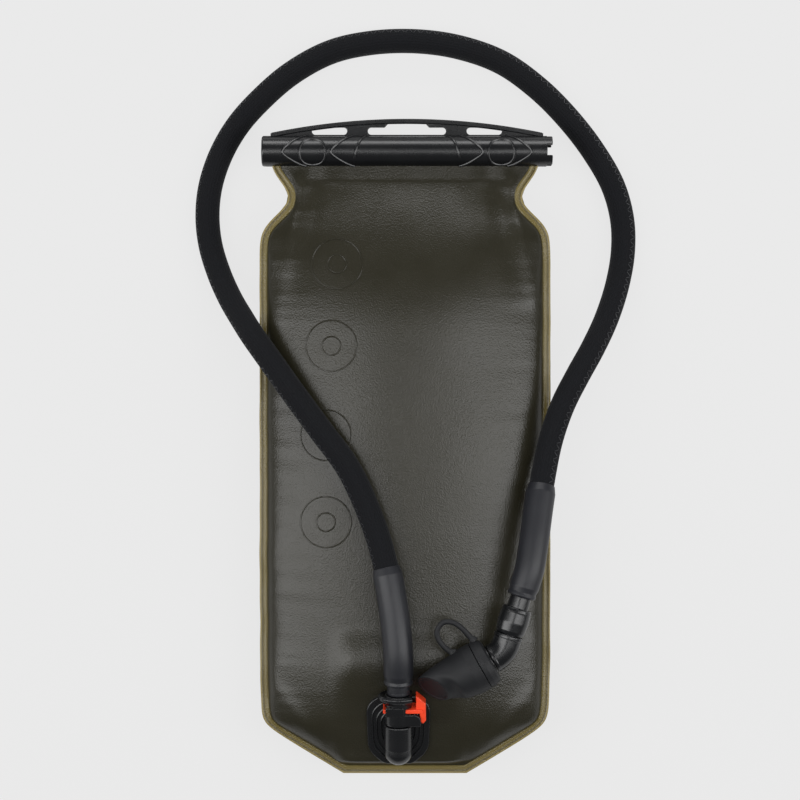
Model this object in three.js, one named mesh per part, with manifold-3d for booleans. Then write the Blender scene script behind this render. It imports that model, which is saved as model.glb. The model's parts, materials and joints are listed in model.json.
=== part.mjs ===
// Hydration bladder with a slide-bar closure, a quick-release hose port, an insulated drink hose
// and a covered bite valve. Millimetres, +Z up: the bladder lies on its back with the slide bar
// towards +Y, and the origin is at the bottom centre of everything but the hose.
import * as THREE from "three";
import { mergeVertices } from "three/addons/utils/BufferGeometryUtils.js";
import Module from "manifold-3d";

const wasm = await Module();
wasm.setup();

// ---- Driving dimensions ------------------------------------------------------------------------

// Clearances
const GAP = 0.3; // between pieces that touch on the real object
const SLIDE_GAP = 0.75; // between the slide bar and the films on each side

// Bag
const BAG_WIDTH = 190; // over the side welds
const BAG_LENGTH = 406; // bottom weld edge to the closure's axis
const BOTTOM_WIDTH = 81.2; // straight bottom edge between the two cut corners
const CORNER_RISE = 32; // height of the cut corners
const CORNER_SOFTNESS = 6; // rounding of the cut corners
const WELD = 5; // width of the welded border
const FILM = 0.8; // thickness of one film
const SEAM_Z = 31; // height of the weld plane over the floor
const FRONT_RISE = 24; // how far the front film stands over the weld plane
const NECK_PINCH = 14; // how much each side of the mouth gathers in under the bar
const NECK_BELOW = 32; // distance from the pinch to the closure's axis
const NECK_SPREAD = 15; // length over which the pinch fades out
const BOTTOM_ROUND = 70; // length over which the front film rises from the bottom weld
const BACK_ROUND = 50; // the same for the back film
const TOP_TAPER = 102; // length over which the films come together below the bar
const NECK_FLAT = 9; // flat neck between the taper and the bar
const MOUTH_WIDTH = 177; // width of the film mouth inside the bar
const MOUTH_EASE_BELOW = 24; // the bag narrows to its mouth from here below the pinch
const MOUTH_EASE_ABOVE = 16; // to here above it
const FRONT_FILL = { round: BOTTOM_ROUND, bottomPower: 2, topPower: 2.2 };
const BACK_FILL = { round: BACK_ROUND, bottomPower: 2.6, topPower: 3 };
const FRONT_SECTION = { power: 2.4, root: 1.8 }; // roundness of the front film's cross section
const BACK_SECTION = { power: 3, root: 2.4 };
const BACK_FLATTENING = 1.08; // over 1, so that the back film lies flat on the floor
const FOOT_EASE = 4.5; // the front film rises from the bottom weld over this length

// Closure
const BAR_LENGTH = 191;
const BAR_RADIUS = 10;
const BAR_WALL = 2.4;
const BAR_END_WALL = 3;
const PRONG_LENGTH = 3.5;
const PRONG_LOW = 4.2; // the two prongs, up and down from the bar's axis
const PRONG_HIGH = 9.2;
const ROD_RADIUS = 3.75;
const ROD_LENGTH = 179;
const FLAP_WALL = 1;
const GRIP_RISE = 10.8; // top of the grip plate over the bar's back, at the middle
const GRIP_END_RISE = 1.6; // the same at its two ends
const GRIP_LENGTH = 178;
const GRIP_THICKNESS = 3.2;
const SLOT_RISE = 0.6; // underside of the three grip slots over the bar's back
const SLOT_HEIGHT = 4.8;
const CENTRE_SLOT_LENGTH = 51;
const CENTRE_ARCH_LENGTH = 26;
const CENTRE_ARCH_HEIGHT = 7.6;
const SIDE_SLOT_LENGTH = 23;
const SIDE_SLOT_PLACE = 50.5;

// Hose port
const PORT_X = -4.3;
const PORT_FROM_BOTTOM = 38.7; // joint face of the port, up from the bottom weld edge
const PORT_Z = 51;
const PORT_PITCH = THREE.MathUtils.degToRad(13);
const FLANGE_WIDTH = 42;
const FLANGE_LENGTH = 45.8;
const FLANGE_CENTRE = -7.3; // along the port's axis from the joint face
const FLANGE_THICKNESS = 3;
const FLANGE_CORNER = 10; // radius of its two upper corners
const FLANGE_TAPER = 15; // its lower end narrows over this length
const FLANGE_LOW_HALF = 8.4; // half the width of its lower edge
const PAD_BESIDE = [8, 26]; // the film's pad fades between these distances beside the flange
const PAD_ABOVE = [7, 45]; // and between these above it
const SADDLE_HALF_WIDTH = 6;
const PORT_AXIS_HEIGHT = 11; // hose axis over the film
const BARREL_RADIUS = 9.2;
const BARREL_REACH = 18; // from the joint face to the centre of the domed end
const BARREL_BORE = 6;
const INLET_RADIUS = 4;
const INLET_PLACE = -14.5;
const SOCKET_WALL = 3.1;
const SOCKET_LENGTH = 20.4;
const SOCKET_TAIL = 11.5;
const CHAMBER_RADIUS = 4.9;
const CHAMBER_END_WALL = 1.5;
const SEAT_LOW = 1.5;
const SEAT_HIGH = 3;
const SEAT_BORE = 2.6;
const COLLAR_HALF_WIDTH = 13.2;
const COLLAR_HALF_HEIGHT = 10.2;
const COLLAR_THICKNESS = 3.2;
const COLLAR_CUT = 10.4; // the collar is cut flat here, beside the button

// Release button
const LATCH_LOW = 9.6; // latch plate along the port's axis
const LATCH_THICKNESS = 2.6;
const LATCH_HALF_HEIGHT = 7.2;
const LATCH_LEFT = 8.2;
const LATCH_CLEARANCE = 0.3; // between the latch's hole and the plug, so that the plug can move
const BUTTON_OUT = 17.4;
const BUTTON_TRAVEL = 2;
const BUTTON_LOW = 2.6;
const BUTTON_HIGH = 14.6;
const BUTTON_HEIGHT = 9;
const BUTTON_WALL = 4.2;

// Plug and shut-off poppet
const PLUG_RADIUS = 5.2;
const PLUG_NOSE = 5.6; // along the port's axis
const PLUG_GROOVE = 1.1;
const PLUG_BORE = 2;
const PLUG_STUB_RADIUS = 7.15;
const PLUG_STUB_LENGTH = 6.4;
const RING_SECTION = 0.45;
const RING_PLACE = 15.5;
const BARB_LENGTH = 16;
const POPPET_RADIUS = 4.2;
const POPPET_LIFT = 3.2; // from open to closed
const POPPET_SEAL_ROOT = 2.7;
const POPPET_THICKNESS = 1.6;
const POPPET_STEM = 1.4;
const SPRING_WIRE = 0.35;
const POPPET_SPRING_RADIUS = 3.4;
const BUTTON_SPRING_RADIUS = 1.5;
const BUTTON_SPRING_PLACE = 5.6;

// Hose
const TUBE_RADIUS = 4.75;
const TUBE_BORE = 3.2;
const SLEEVE_RADIUS = 8;
const SLEEVE_BORE = 5.1;
const CUFF_WALL = 1.2;
const LOWER_CUFF_STEPS = 5;
const UPPER_CUFF_STEPS = 4;
const HOSE_STEP = 19; // distance between the sections of the hose, nearly

// Swivel and valve, measured from the centre of the elbow
const ELBOW_X = 62.4;
const ELBOW_FROM_BOTTOM = 83.1;
const INLET_HEADING = THREE.MathUtils.degToRad(72.5); // towards the hose
const VALVE_HEADING = THREE.MathUtils.degToRad(209); // towards the mouthpiece
const ELBOW_RADIUS = 9.4;
const ELBOW_BORE = 4;
const ELBOW_FACE = 12;
const ELBOW_NOSE_RADIUS = 6.4;
const ELBOW_NOSE_LENGTH = 12;
const CONNECTOR_RADIUS = 10;
const CONNECTOR_LENGTH = 17.4;
const CONNECTOR_STUB_RADIUS = 7;
const CONNECTOR_STUB_LENGTH = 7.5;
const VALVE_START = 8.5;
const VALVE_SEAT_RADIUS = 11.6;
const COLLAR_RING_START = 9.2;
const COLLAR_RING_LENGTH = 7.6;
const CAP_START = 17.1;
const CAP_LENGTH = 36;
const CAP_RADIUS = 16;
const CAP_END_RADIUS = 12.6;
const CAP_WALL = 1.4;
const CAP_SHANK = 7; // straight part of the cap at its open end
const CAP_ROUND = 5;
const COLLAR_RING_BORE = 9.9;
const VALVE_FLANGE = 1.8;
const VALVE_OUTLET = 2.4;
const CORE_RADIUS = 3.7;
const CORE_BORE = 2.4;
const CORE_START = 3;
const CORE_END_WALL = 1.6;
const BITE_START = 22;
const BITE_LENGTH = 10;
const BITE_RADIUS = 6;
const BITE_WALL = 1.5;
const BITE_SLIT = 2.6;
const BITE_ROUND = 2;
const SLIT_WIDTH = 0.6;
const TETHER_RADIUS = 1.7;
const TETHER_REACH = 36; // loop's outer end from the valve's axis
const TETHER_ROOT = 13; // where it leaves the collar, along the valve's axis
const TETHER_LAND = 27.5; // where it meets the cap

// Facets
const ROUND = 20; // sides of the small turned pieces
const BROAD = 28; // sides of the larger turned pieces
const FINE = 16; // sides of the smallest turned pieces

// ---- Values that follow from them --------------------------------------------------------------

const HALF_WIDTH = BAG_WIDTH / 2;
const GRIP_TOP = BAR_RADIUS + GRIP_RISE;
const GRIP_END = BAR_RADIUS + GRIP_END_RISE;
const SLOT_FLOOR = BAR_RADIUS + SLOT_RISE;
const BOTTOM_Y = -(BAG_LENGTH + GRIP_TOP) / 2;
const BAR_Y = BOTTOM_Y + BAG_LENGTH;
const BAR_BORE = BAR_RADIUS - BAR_WALL;
const FILM_PAIR = 2 * FILM + GAP;
const BAR_SLOT = FILM_PAIR + 2 * SLIDE_GAP;
const FILM_END = BAG_LENGTH - ROD_RADIUS - GAP;
const PORT_Y = BOTTOM_Y + PORT_FROM_BOTTOM;
const CORNER_SLOPE = (BAG_WIDTH - BOTTOM_WIDTH) / 2 / CORNER_RISE;
const SOCKET_BORE = PLUG_RADIUS + GAP;
const SOCKET_RADIUS = SOCKET_BORE + SOCKET_WALL;
const CUFF_BORE = SLEEVE_RADIUS + GAP;
const CUFF_RADIUS = CUFF_BORE + CUFF_WALL;
const STUB_START = SOCKET_LENGTH + GAP;
const STUB_END = STUB_START + PLUG_STUB_LENGTH;
const PLUG_ROOT = PLUG_RADIUS - PLUG_GROOVE;
const BARB_RADIUS = TUBE_BORE - GAP;
const POPPET_TOP = SEAT_LOW - GAP - GAP / 2 - POPPET_LIFT - 2 * RING_SECTION;
const CHAMBER_LOW = CHAMBER_END_WALL - SOCKET_TAIL;
const ELBOW_Z = SEAM_Z + FRONT_RISE + CAP_RADIUS; // the dust cap rests on the front film
const ELBOW_SEAL_PLACE = ELBOW_FACE + ELBOW_NOSE_LENGTH / 2;
const ELBOW_SEAL_ROOT = ELBOW_NOSE_RADIUS - 2 * RING_SECTION - GAP / 2;
const CONNECTOR_START = ELBOW_FACE + GAP;
const CONNECTOR_END = CONNECTOR_START + CONNECTOR_LENGTH + CONNECTOR_STUB_LENGTH;

// ---- Materials ---------------------------------------------------------------------------------

const finish = (color, roughness, metalness = 0) =>
  new THREE.MeshStandardMaterial({ color, roughness, metalness });

const film = finish(0x4a493b, 0.35);
const blackPlastic = finish(0x15161a, 0.25);
const orangePlastic = finish(0xf0451f, 0.45);
const greyRubber = finish(0x3b3c44, 0.6);
const blackRubber = finish(0x1b1c20, 0.55);
const knit = finish(0x14151b, 0.95);
const clearTube = finish(0x8d9aa6, 0.3);
const springSteel = finish(0xb8bcc2, 0.3, 1);
const sealRubber = finish(0x202020, 0.7);
const silicone = finish(0x8a8f96, 0.5);

// ---- Solid helpers -----------------------------------------------------------------------------

/** A closed geometry as a manifold solid. */
function solid(geometry) {
  const bare = new THREE.BufferGeometry();
  bare.setAttribute("position", geometry.getAttribute("position").clone());
  if (geometry.index) bare.setIndex(geometry.index.clone());
  const merged = mergeVertices(bare, 1e-4);
  const corners = [];
  const index = merged.index.array;
  for (let i = 0; i < index.length; i += 3) {
    const [a, b, c] = [index[i], index[i + 1], index[i + 2]];
    if (a !== b && b !== c && c !== a) corners.push(a, b, c);
  }
  const mesh = new wasm.Mesh({
    numProp: 3,
    vertProperties: merged.getAttribute("position").array,
    triVerts: Uint32Array.from(corners),
  });
  return new wasm.Manifold(mesh);
}

/** A manifold solid as a three.js geometry. */
function surface(body) {
  const mesh = body.getMesh();
  const geometry = new THREE.BufferGeometry();
  geometry.setAttribute("position", new THREE.BufferAttribute(mesh.vertProperties, 3));
  geometry.setIndex(new THREE.BufferAttribute(mesh.triVerts, 1));
  return geometry;
}

/** Turned solid about +Y from a closed profile of [radius, height], anticlockwise. */
function turned(profile, sides = ROUND) {
  const points = [...profile, profile[0]].map(([r, y]) => new THREE.Vector2(r, y));
  return solid(new THREE.LatheGeometry(points, sides));
}

/** Ring or tube about +Y. */
function tube(outer, inner, low, high, sides = ROUND) {
  return turned([[inner, low], [outer, low], [outer, high], [inner, high]], sides);
}

/** Cylinder about +Y. */
function rod(radius, low, high, sides = ROUND) {
  const geometry = new THREE.CylinderGeometry(radius, radius, high - low, sides);
  return solid(geometry.translate(0, (low + high) / 2, 0));
}

/** Box between two opposite corners. */
function block([x0, y0, z0], [x1, y1, z1]) {
  const geometry = new THREE.BoxGeometry(x1 - x0, y1 - y0, z1 - z0);
  return solid(geometry.translate((x0 + x1) / 2, (y0 + y1) / 2, (z0 + z1) / 2));
}

/** Plate: a shape in XY, thickened from low to high in Z. */
function plate(shape, low, high, curveSegments = 8) {
  const options = { depth: high - low, bevelEnabled: false, curveSegments };
  return solid(new THREE.ExtrudeGeometry(shape, options).translate(0, 0, low));
}

/** Closed outline through the given points. */
function outline(points) {
  return new THREE.Shape(points.map(([x, y]) => new THREE.Vector2(x, y)));
}

/** A straight slot with round ends, as a hole or an outline. */
function roundSlot(centreX, low, length, height) {
  const radius = height / 2;
  const reach = length / 2 - radius;
  const path = new THREE.Shape();
  path.absarc(centreX + reach, low + radius, radius, -Math.PI / 2, Math.PI / 2);
  path.absarc(centreX - reach, low + radius, radius, Math.PI / 2, (3 * Math.PI) / 2);
  return path;
}

/** Adds a named mesh to a group. */
function piece(name, body, material, parent) {
  const mesh = new THREE.Mesh(body.isBufferGeometry ? body : surface(body), material.clone());
  mesh.name = name;
  parent.add(mesh);
  return mesh;
}

// ---- Bag film ----------------------------------------------------------------------------------

/** Smooth version of max(value, 0). */
const softRamp = (value, softness) => (value + Math.hypot(value, softness)) / 2;

/** Half the bag's width at a distance up from the bottom weld edge. */
function halfWidth(up) {
  const corner = CORNER_SLOPE * softRamp(CORNER_RISE - up, CORNER_SOFTNESS);
  const neck = BAG_LENGTH - NECK_BELOW;
  const pinch = NECK_PINCH * Math.exp(-(((up - neck) / NECK_SPREAD) ** 2));
  const mouth = THREE.MathUtils.smoothstep(up, neck - MOUTH_EASE_BELOW, neck + MOUTH_EASE_ABOVE);
  return THREE.MathUtils.lerp(HALF_WIDTH, MOUTH_WIDTH / 2, mouth) - corner - pinch;
}

/** Half the width inside the welds. */
function innerHalfWidth(up) {
  const slope = halfWidth(up + 1) - halfWidth(up - 1);
  return halfWidth(up) - WELD * Math.hypot(1, slope / 2);
}

/** How full the bag is along its length, from 0 at the welds to 1. */
function fullness(up, { round, bottomPower, topPower }) {
  const low = Math.min(1, Math.max(0, (up - WELD) / round));
  const rising = (1 - (1 - low) ** bottomPower) ** (1 / bottomPower);
  const taperStart = BAG_LENGTH - BAR_RADIUS - NECK_FLAT - TOP_TAPER;
  const high = Math.min(1, Math.max(0, (up - taperStart) / TOP_TAPER));
  return rising * (1 - high ** topPower) ** 1.2;
}

/** Height of a film's cross section, from 1 at the middle to 0 at the welds. */
function roundness(x, up, { power, root }) {
  const across = Math.min(1, Math.abs(x) / innerHalfWidth(up));
  return (1 - across ** power) ** (1 / root);
}

/** Height of the front film over the weld plane: a pad for the port stands in its lower end. */
function frontRise(x, up) {
  const free = FRONT_RISE * fullness(up, FRONT_FILL) * roundness(x, up, FRONT_SECTION);
  const padHeight = PORT_Z - SEAM_Z - FILM - GAP / 2;
  const pad = padHeight + (up - PORT_FROM_BOTTOM) * Math.tan(PORT_PITCH);
  const edge = FLANGE_WIDTH / 2;
  const [besideFrom, besideTo] = PAD_BESIDE;
  const away = Math.abs(x - PORT_X) - edge;
  const beside = 1 - THREE.MathUtils.smoothstep(away, besideFrom, besideTo);
  const flangeTop = PORT_FROM_BOTTOM + FLANGE_CENTRE + FLANGE_LENGTH / 2;
  const above = 1 - THREE.MathUtils.smoothstep(up - flangeTop, ...PAD_ABOVE);
  const foot = THREE.MathUtils.smoothstep(up, WELD, WELD + FOOT_EASE);
  const inside = Math.abs(x) < innerHalfWidth(up) ? 1 : 0;
  return THREE.MathUtils.lerp(free, pad, beside * above * inside) * foot;
}

/** Depth of the back film under the weld plane: flat where the bag lies on the floor. */
function backDepth(x, up) {
  const full = BACK_FLATTENING * fullness(up, BACK_FILL) * roundness(x, up, BACK_SECTION);
  return (SEAM_Z - FILM - GAP / 2) * Math.min(1, full);
}

/** Point on the outer face of a film: side is 1 for the front and -1 for the back. */
function filmPoint(side, across, up) {
  const x = halfWidth(up) * Math.sin((across * Math.PI) / 2);
  const bulge = side > 0 ? frontRise(x, up) : backDepth(x, up);
  return new THREE.Vector3(x, BOTTOM_Y + up, SEAM_Z + side * (GAP / 2 + FILM + bulge));
}

/** Outward normal of a film. */
function filmNormal(side, across, up) {
  const step = 0.004;
  const left = filmPoint(side, Math.max(-1, across - step), up);
  const right = filmPoint(side, Math.min(1, across + step), up);
  const low = filmPoint(side, across, Math.max(0, up - step * 100));
  const high = filmPoint(side, across, Math.min(FILM_END, up + step * 100));
  return right.sub(left).cross(high.sub(low)).multiplyScalar(side).normalize();
}

/** One film panel as a closed shell, thin as the film, with its flat welded border. */
function filmPanel(side, rows, columns) {
  const positions = [];
  const index = [];
  const width = columns + 1;
  const count = width * (rows + 1);
  for (const depth of [0, FILM]) {
    for (let row = 0; row <= rows; row += 1) {
      const up = (FILM_END * (1 - Math.cos((Math.PI * row) / rows))) / 2;
      for (let column = 0; column <= columns; column += 1) {
        const across = (2 * column) / columns - 1;
        const point = filmPoint(side, across, up);
        point.addScaledVector(filmNormal(side, across, up), -depth);
        positions.push(point.x, point.y, point.z);
      }
    }
  }
  const quad = (a, b, c, d) => {
    if (side > 0) index.push(a, b, c, a, c, d);
    else index.push(a, c, b, a, d, c);
  };
  for (let row = 0; row < rows; row += 1) {
    for (let column = 0; column < columns; column += 1) {
      const a = row * width + column;
      quad(a, a + 1, a + width + 1, a + width);
      quad(count + a, count + a + width, count + a + width + 1, count + a + 1);
    }
  }
  const edge = (a, b) => quad(a, count + a, count + b, b);
  for (let column = 0; column < columns; column += 1) {
    edge(column, column + 1);
    edge(count - 1 - column, count - 2 - column);
  }
  for (let row = 0; row < rows; row += 1) {
    edge(row * width + columns, (row + 1) * width + columns);
    edge((row + 1) * width, row * width);
  }
  const geometry = new THREE.BufferGeometry();
  geometry.setAttribute("position", new THREE.Float32BufferAttribute(positions, 3));
  geometry.setIndex(index);
  return geometry;
}

/** A solid of the port's own frame, moved to where the port sits. */
function atPort(body) {
  const place = new THREE.Matrix4().makeRotationX(PORT_PITCH).setPosition(PORT_X, PORT_Y, PORT_Z);
  return solid(surface(body).applyMatrix4(place));
}

function buildBag(parent) {
  const hole = rod(INLET_RADIUS, -20, 20).rotate([90, 0, 0]).translate([0, INLET_PLACE, 0]);
  piece("front_panel", solid(filmPanel(1, 30, 20)).subtract(atPort(hole)), film, parent);
  piece("back_panel", filmPanel(-1, 22, 14), film, parent);
}

// ---- Closure -----------------------------------------------------------------------------------

/** Stiff rod in the mouth's fold, which the slide bar grips. */
function closureRod() {
  return rod(ROD_RADIUS, -ROD_LENGTH / 2, ROD_LENGTH / 2, FINE).rotate([0, 0, 90]);
}

/** Mouth film, rolled round the rod and open towards the bag. */
function mouthFlap() {
  const inner = ROD_RADIUS + GAP;
  const outer = inner + FLAP_WALL;
  const opening = Math.asin((FILM_PAIR / 2 + GAP) / inner);
  const shape = new THREE.Shape();
  shape.absarc(0, 0, outer, opening, 2 * Math.PI - opening, false);
  shape.absarc(0, 0, inner, 2 * Math.PI - opening, opening, true);
  const half = ROD_LENGTH / 2;
  return plate(shape, -half, half, 10).rotate([0, 90, 0]).rotate([-90, 0, 0]);
}

/** C-shaped channel of the slide bar, about X, with its slot towards the bag. */
function barChannel() {
  const half = BAR_LENGTH / 2;
  const wall = rod(BAR_RADIUS, -half, half - PRONG_LENGTH, BROAD);
  const bore = rod(BAR_BORE, -half + BAR_END_WALL, half + 1, BROAD);
  return wall.subtract(bore).rotate([0, 0, -90]);
}

/** Two lugs at the open end that lead the rod in. */
function barProngs() {
  const half = BAR_LENGTH / 2;
  const ring = tube(BAR_RADIUS, BAR_BORE, half - PRONG_LENGTH - 1, half, BROAD).rotate([0, 0, -90]);
  const upper = block([0, PRONG_LOW, -BAR_RADIUS], [half + 1, PRONG_HIGH, BAR_RADIUS]);
  const lower = block([0, -PRONG_HIGH, -BAR_RADIUS], [half + 1, -PRONG_LOW, BAR_RADIUS]);
  return ring.intersect(upper.add(lower));
}

/** Arched grip plate with its three slots. */
function gripPlate() {
  const half = GRIP_LENGTH / 2;
  const rise = (x) => THREE.MathUtils.lerp(GRIP_TOP, GRIP_END, (x / half) ** 2);
  const steps = 12;
  const top = Array.from({ length: steps + 1 }, (_, i) => half - (2 * half * i) / steps);
  const foot = BAR_BORE + BAR_WALL / 2;
  const shape = outline([[-half, foot], [half, foot], ...top.map((x) => [x, rise(x)])]);
  shape.holes.push(roundSlot(-SIDE_SLOT_PLACE, SLOT_FLOOR, SIDE_SLOT_LENGTH, SLOT_HEIGHT));
  shape.holes.push(roundSlot(SIDE_SLOT_PLACE, SLOT_FLOOR, SIDE_SLOT_LENGTH, SLOT_HEIGHT));
  const grip = plate(shape, -GRIP_THICKNESS / 2, GRIP_THICKNESS / 2, 3);
  const slot = roundSlot(0, SLOT_FLOOR, CENTRE_SLOT_LENGTH, SLOT_HEIGHT);
  const arch = roundSlot(0, SLOT_FLOOR, CENTRE_ARCH_LENGTH, CENTRE_ARCH_HEIGHT);
  const cut = (hole) => plate(hole, -GRIP_THICKNESS, GRIP_THICKNESS, 3);
  return grip.subtract(cut(slot)).subtract(cut(arch));
}

function buildClosure(parent) {
  const closure = new THREE.Group();
  closure.position.set(0, BAR_Y, SEAM_Z);
  parent.add(closure);
  piece("closure_rod", closureRod(), blackPlastic, closure);
  piece("mouth_flap", mouthFlap(), film, closure);
  const slotCut = block(
    [BAR_END_WALL - BAR_LENGTH / 2, -2 * BAR_RADIUS, -BAR_SLOT / 2],
    [BAR_LENGTH, -BAR_BORE / 2, BAR_SLOT / 2],
  );
  const bar = barChannel().add(barProngs()).add(gripPlate()).subtract(slotCut);
  piece("slide_bar", bar, blackPlastic, closure);
}

// ---- Hose port, in its own frame: +Y along the hose axis, +Z away from the film ----------------

/** Shield-shaped flange outline: wide and round above, narrowing to a short lower edge. */
function flangeOutline() {
  const half = FLANGE_WIDTH / 2;
  const foot = FLANGE_LOW_HALF;
  const bulge = (3 / 4) * half;
  const low = FLANGE_CENTRE - FLANGE_LENGTH / 2;
  const high = low + FLANGE_LENGTH;
  const bend = low + FLANGE_TAPER / 10;
  const shape = new THREE.Shape();
  shape.moveTo(-foot, low);
  shape.lineTo(foot, low);
  shape.quadraticCurveTo(bulge, bend, half, low + FLANGE_TAPER);
  shape.lineTo(half, high - FLANGE_CORNER);
  shape.quadraticCurveTo(half, high, half - FLANGE_CORNER, high);
  shape.lineTo(FLANGE_CORNER - half, high);
  shape.quadraticCurveTo(-half, high, -half, high - FLANGE_CORNER);
  shape.lineTo(-half, low + FLANGE_TAPER);
  shape.quadraticCurveTo(-bulge, bend, -foot, low);
  return shape;
}

/** Flange and domed barrel that carry water up from the film to the hose axis. */
function portHousing() {
  const flange = plate(flangeOutline(), GAP, GAP + FLANGE_THICKNESS, 5);
  const barrel = rod(BARREL_RADIUS, -BARREL_REACH, 0);
  const dome = solid(new THREE.SphereGeometry(BARREL_RADIUS, ROUND, 12));
  const bore = rod(BARREL_BORE, -BARREL_REACH, 1);
  const foot = SADDLE_HALF_WIDTH;
  const saddle = block([-foot, -BARREL_REACH, GAP], [foot, 0, PORT_AXIS_HEIGHT]);
  const inlet = rod(INLET_RADIUS, -PORT_AXIS_HEIGHT, 0).rotate([90, 0, 0]);
  const raise = (body, along = 0) => body.translate([0, along, PORT_AXIS_HEIGHT]);
  const trough = rod(SOCKET_RADIUS + GAP, 0, FLANGE_LENGTH);
  const wall = flange.add(raise(barrel)).add(raise(dome, -BARREL_REACH)).add(saddle);
  const open = wall.subtract(raise(bore)).subtract(raise(trough));
  return open.subtract(inlet.translate([0, INLET_PLACE, PORT_AXIS_HEIGHT]));
}

/** Socket for the hose plug: seat, bore, finger collar and a window for the latch. */
function couplingSocket() {
  const tail = BARREL_BORE - GAP;
  const body = turned([
    [SEAT_BORE, -SOCKET_TAIL],
    [tail, -SOCKET_TAIL],
    [tail, GAP],
    [SOCKET_RADIUS, GAP],
    [SOCKET_RADIUS, SOCKET_LENGTH],
    [SOCKET_BORE, SOCKET_LENGTH],
    [SOCKET_BORE, SEAT_HIGH],
    [SEAT_BORE, SEAT_HIGH],
    [SEAT_BORE, SEAT_LOW],
    [CHAMBER_RADIUS, SEAT_LOW],
    [CHAMBER_RADIUS, CHAMBER_LOW],
    [SEAT_BORE, CHAMBER_LOW],
  ]);
  const disc = tube(1, SOCKET_BORE / COLLAR_HALF_WIDTH, 0, COLLAR_THICKNESS, BROAD);
  const wide = disc.scale([COLLAR_HALF_WIDTH, 1, COLLAR_HALF_HEIGHT]);
  const collarLow = SOCKET_LENGTH - COLLAR_THICKNESS;
  const bore = rod(SOCKET_BORE, collarLow - 1, SOCKET_LENGTH + 1);
  const room = SOCKET_LENGTH + SOCKET_TAIL;
  const side = block([COLLAR_CUT, -room, -room], [2 * room, room, room]);
  const reach = LATCH_HALF_HEIGHT + GAP;
  const window = block(
    [-room, LATCH_LOW - GAP, -reach],
    [room, LATCH_LOW + LATCH_THICKNESS + GAP, reach],
  );
  const collar = wide.translate([0, collarLow, 0]).subtract(bore).subtract(side);
  return body.add(collar).subtract(window);
}

/** Latch plate that crosses the socket, with the finger button on its right end. */
function releaseButton() {
  const left = PLUG_RADIUS + LATCH_CLEARANCE;
  const right = PLUG_RADIUS + BUTTON_TRAVEL + GAP;
  const bar = block(
    [-LATCH_LEFT, LATCH_LOW, -LATCH_HALF_HEIGHT],
    [BUTTON_OUT - 1, LATCH_LOW + LATCH_THICKNESS, LATCH_HALF_HEIGHT],
  );
  const holeShape = roundSlot((right - left) / 2, -SOCKET_BORE, left + right, 2 * SOCKET_BORE);
  const hole = plate(holeShape, -LATCH_LOW * 2, LATCH_LOW * 2, 6).rotate([-90, 0, 0]);
  const paddle = block(
    [BUTTON_OUT - BUTTON_WALL, BUTTON_LOW, -BUTTON_HEIGHT / 2],
    [BUTTON_OUT, BUTTON_HIGH, BUTTON_HEIGHT / 2],
  );
  return bar.subtract(hole).add(paddle);
}

/** Hose plug: nose, latch groove, seal groove, stub and barb, bored through. */
function tubePlug() {
  const latchHigh = LATCH_LOW + LATCH_THICKNESS;
  const seal = RING_SECTION + GAP / 2;
  return turned([
    [PLUG_BORE, PLUG_NOSE],
    [PLUG_RADIUS, PLUG_NOSE],
    [PLUG_RADIUS, LATCH_LOW - GAP],
    [PLUG_ROOT, LATCH_LOW - GAP],
    [PLUG_ROOT, latchHigh + GAP],
    [PLUG_RADIUS, latchHigh + GAP],
    [PLUG_RADIUS, RING_PLACE - seal],
    [PLUG_ROOT, RING_PLACE - seal],
    [PLUG_ROOT, RING_PLACE + seal],
    [PLUG_RADIUS, RING_PLACE + seal],
    [PLUG_RADIUS, STUB_START],
    [PLUG_STUB_RADIUS, STUB_START],
    [PLUG_STUB_RADIUS, STUB_END],
    [BARB_RADIUS, STUB_END],
    [BARB_RADIUS, STUB_END + BARB_LENGTH],
    [PLUG_BORE, STUB_END + BARB_LENGTH],
  ]);
}

/** Round seal about +Y. */
function sealRing(rootRadius, section, place) {
  const ring = new THREE.TorusGeometry(rootRadius + GAP / 2 + section, section, 6, FINE);
  return solid(ring.rotateX(Math.PI / 2).translate(0, place, 0));
}

/** Poppet that shuts the seat when the plug comes out: head below the seat, stem through it. */
function shutoffPoppet() {
  const stemTop = PLUG_NOSE - GAP;
  return turned([
    [0, POPPET_TOP - POPPET_THICKNESS],
    [POPPET_RADIUS, POPPET_TOP - POPPET_THICKNESS],
    [POPPET_RADIUS, POPPET_TOP],
    [POPPET_STEM, POPPET_TOP],
    [POPPET_STEM, stemTop],
    [0, stemTop],
  ], FINE);
}

/** Compression spring about +Y. */
function coilSpring(radius, low, high, turns) {
  class Helix extends THREE.Curve {
    getPoint(t) {
      const angle = 2 * Math.PI * turns * t;
      const height = THREE.MathUtils.lerp(low, high, t);
      return new THREE.Vector3(radius * Math.cos(angle), height, radius * Math.sin(angle));
    }
  }
  const section = new THREE.Shape().absarc(0, 0, SPRING_WIRE, 0, 2 * Math.PI);
  const options = { extrudePath: new Helix(), steps: turns * 11, curveSegments: 2 };
  return solid(new THREE.ExtrudeGeometry(section, options));
}

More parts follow.
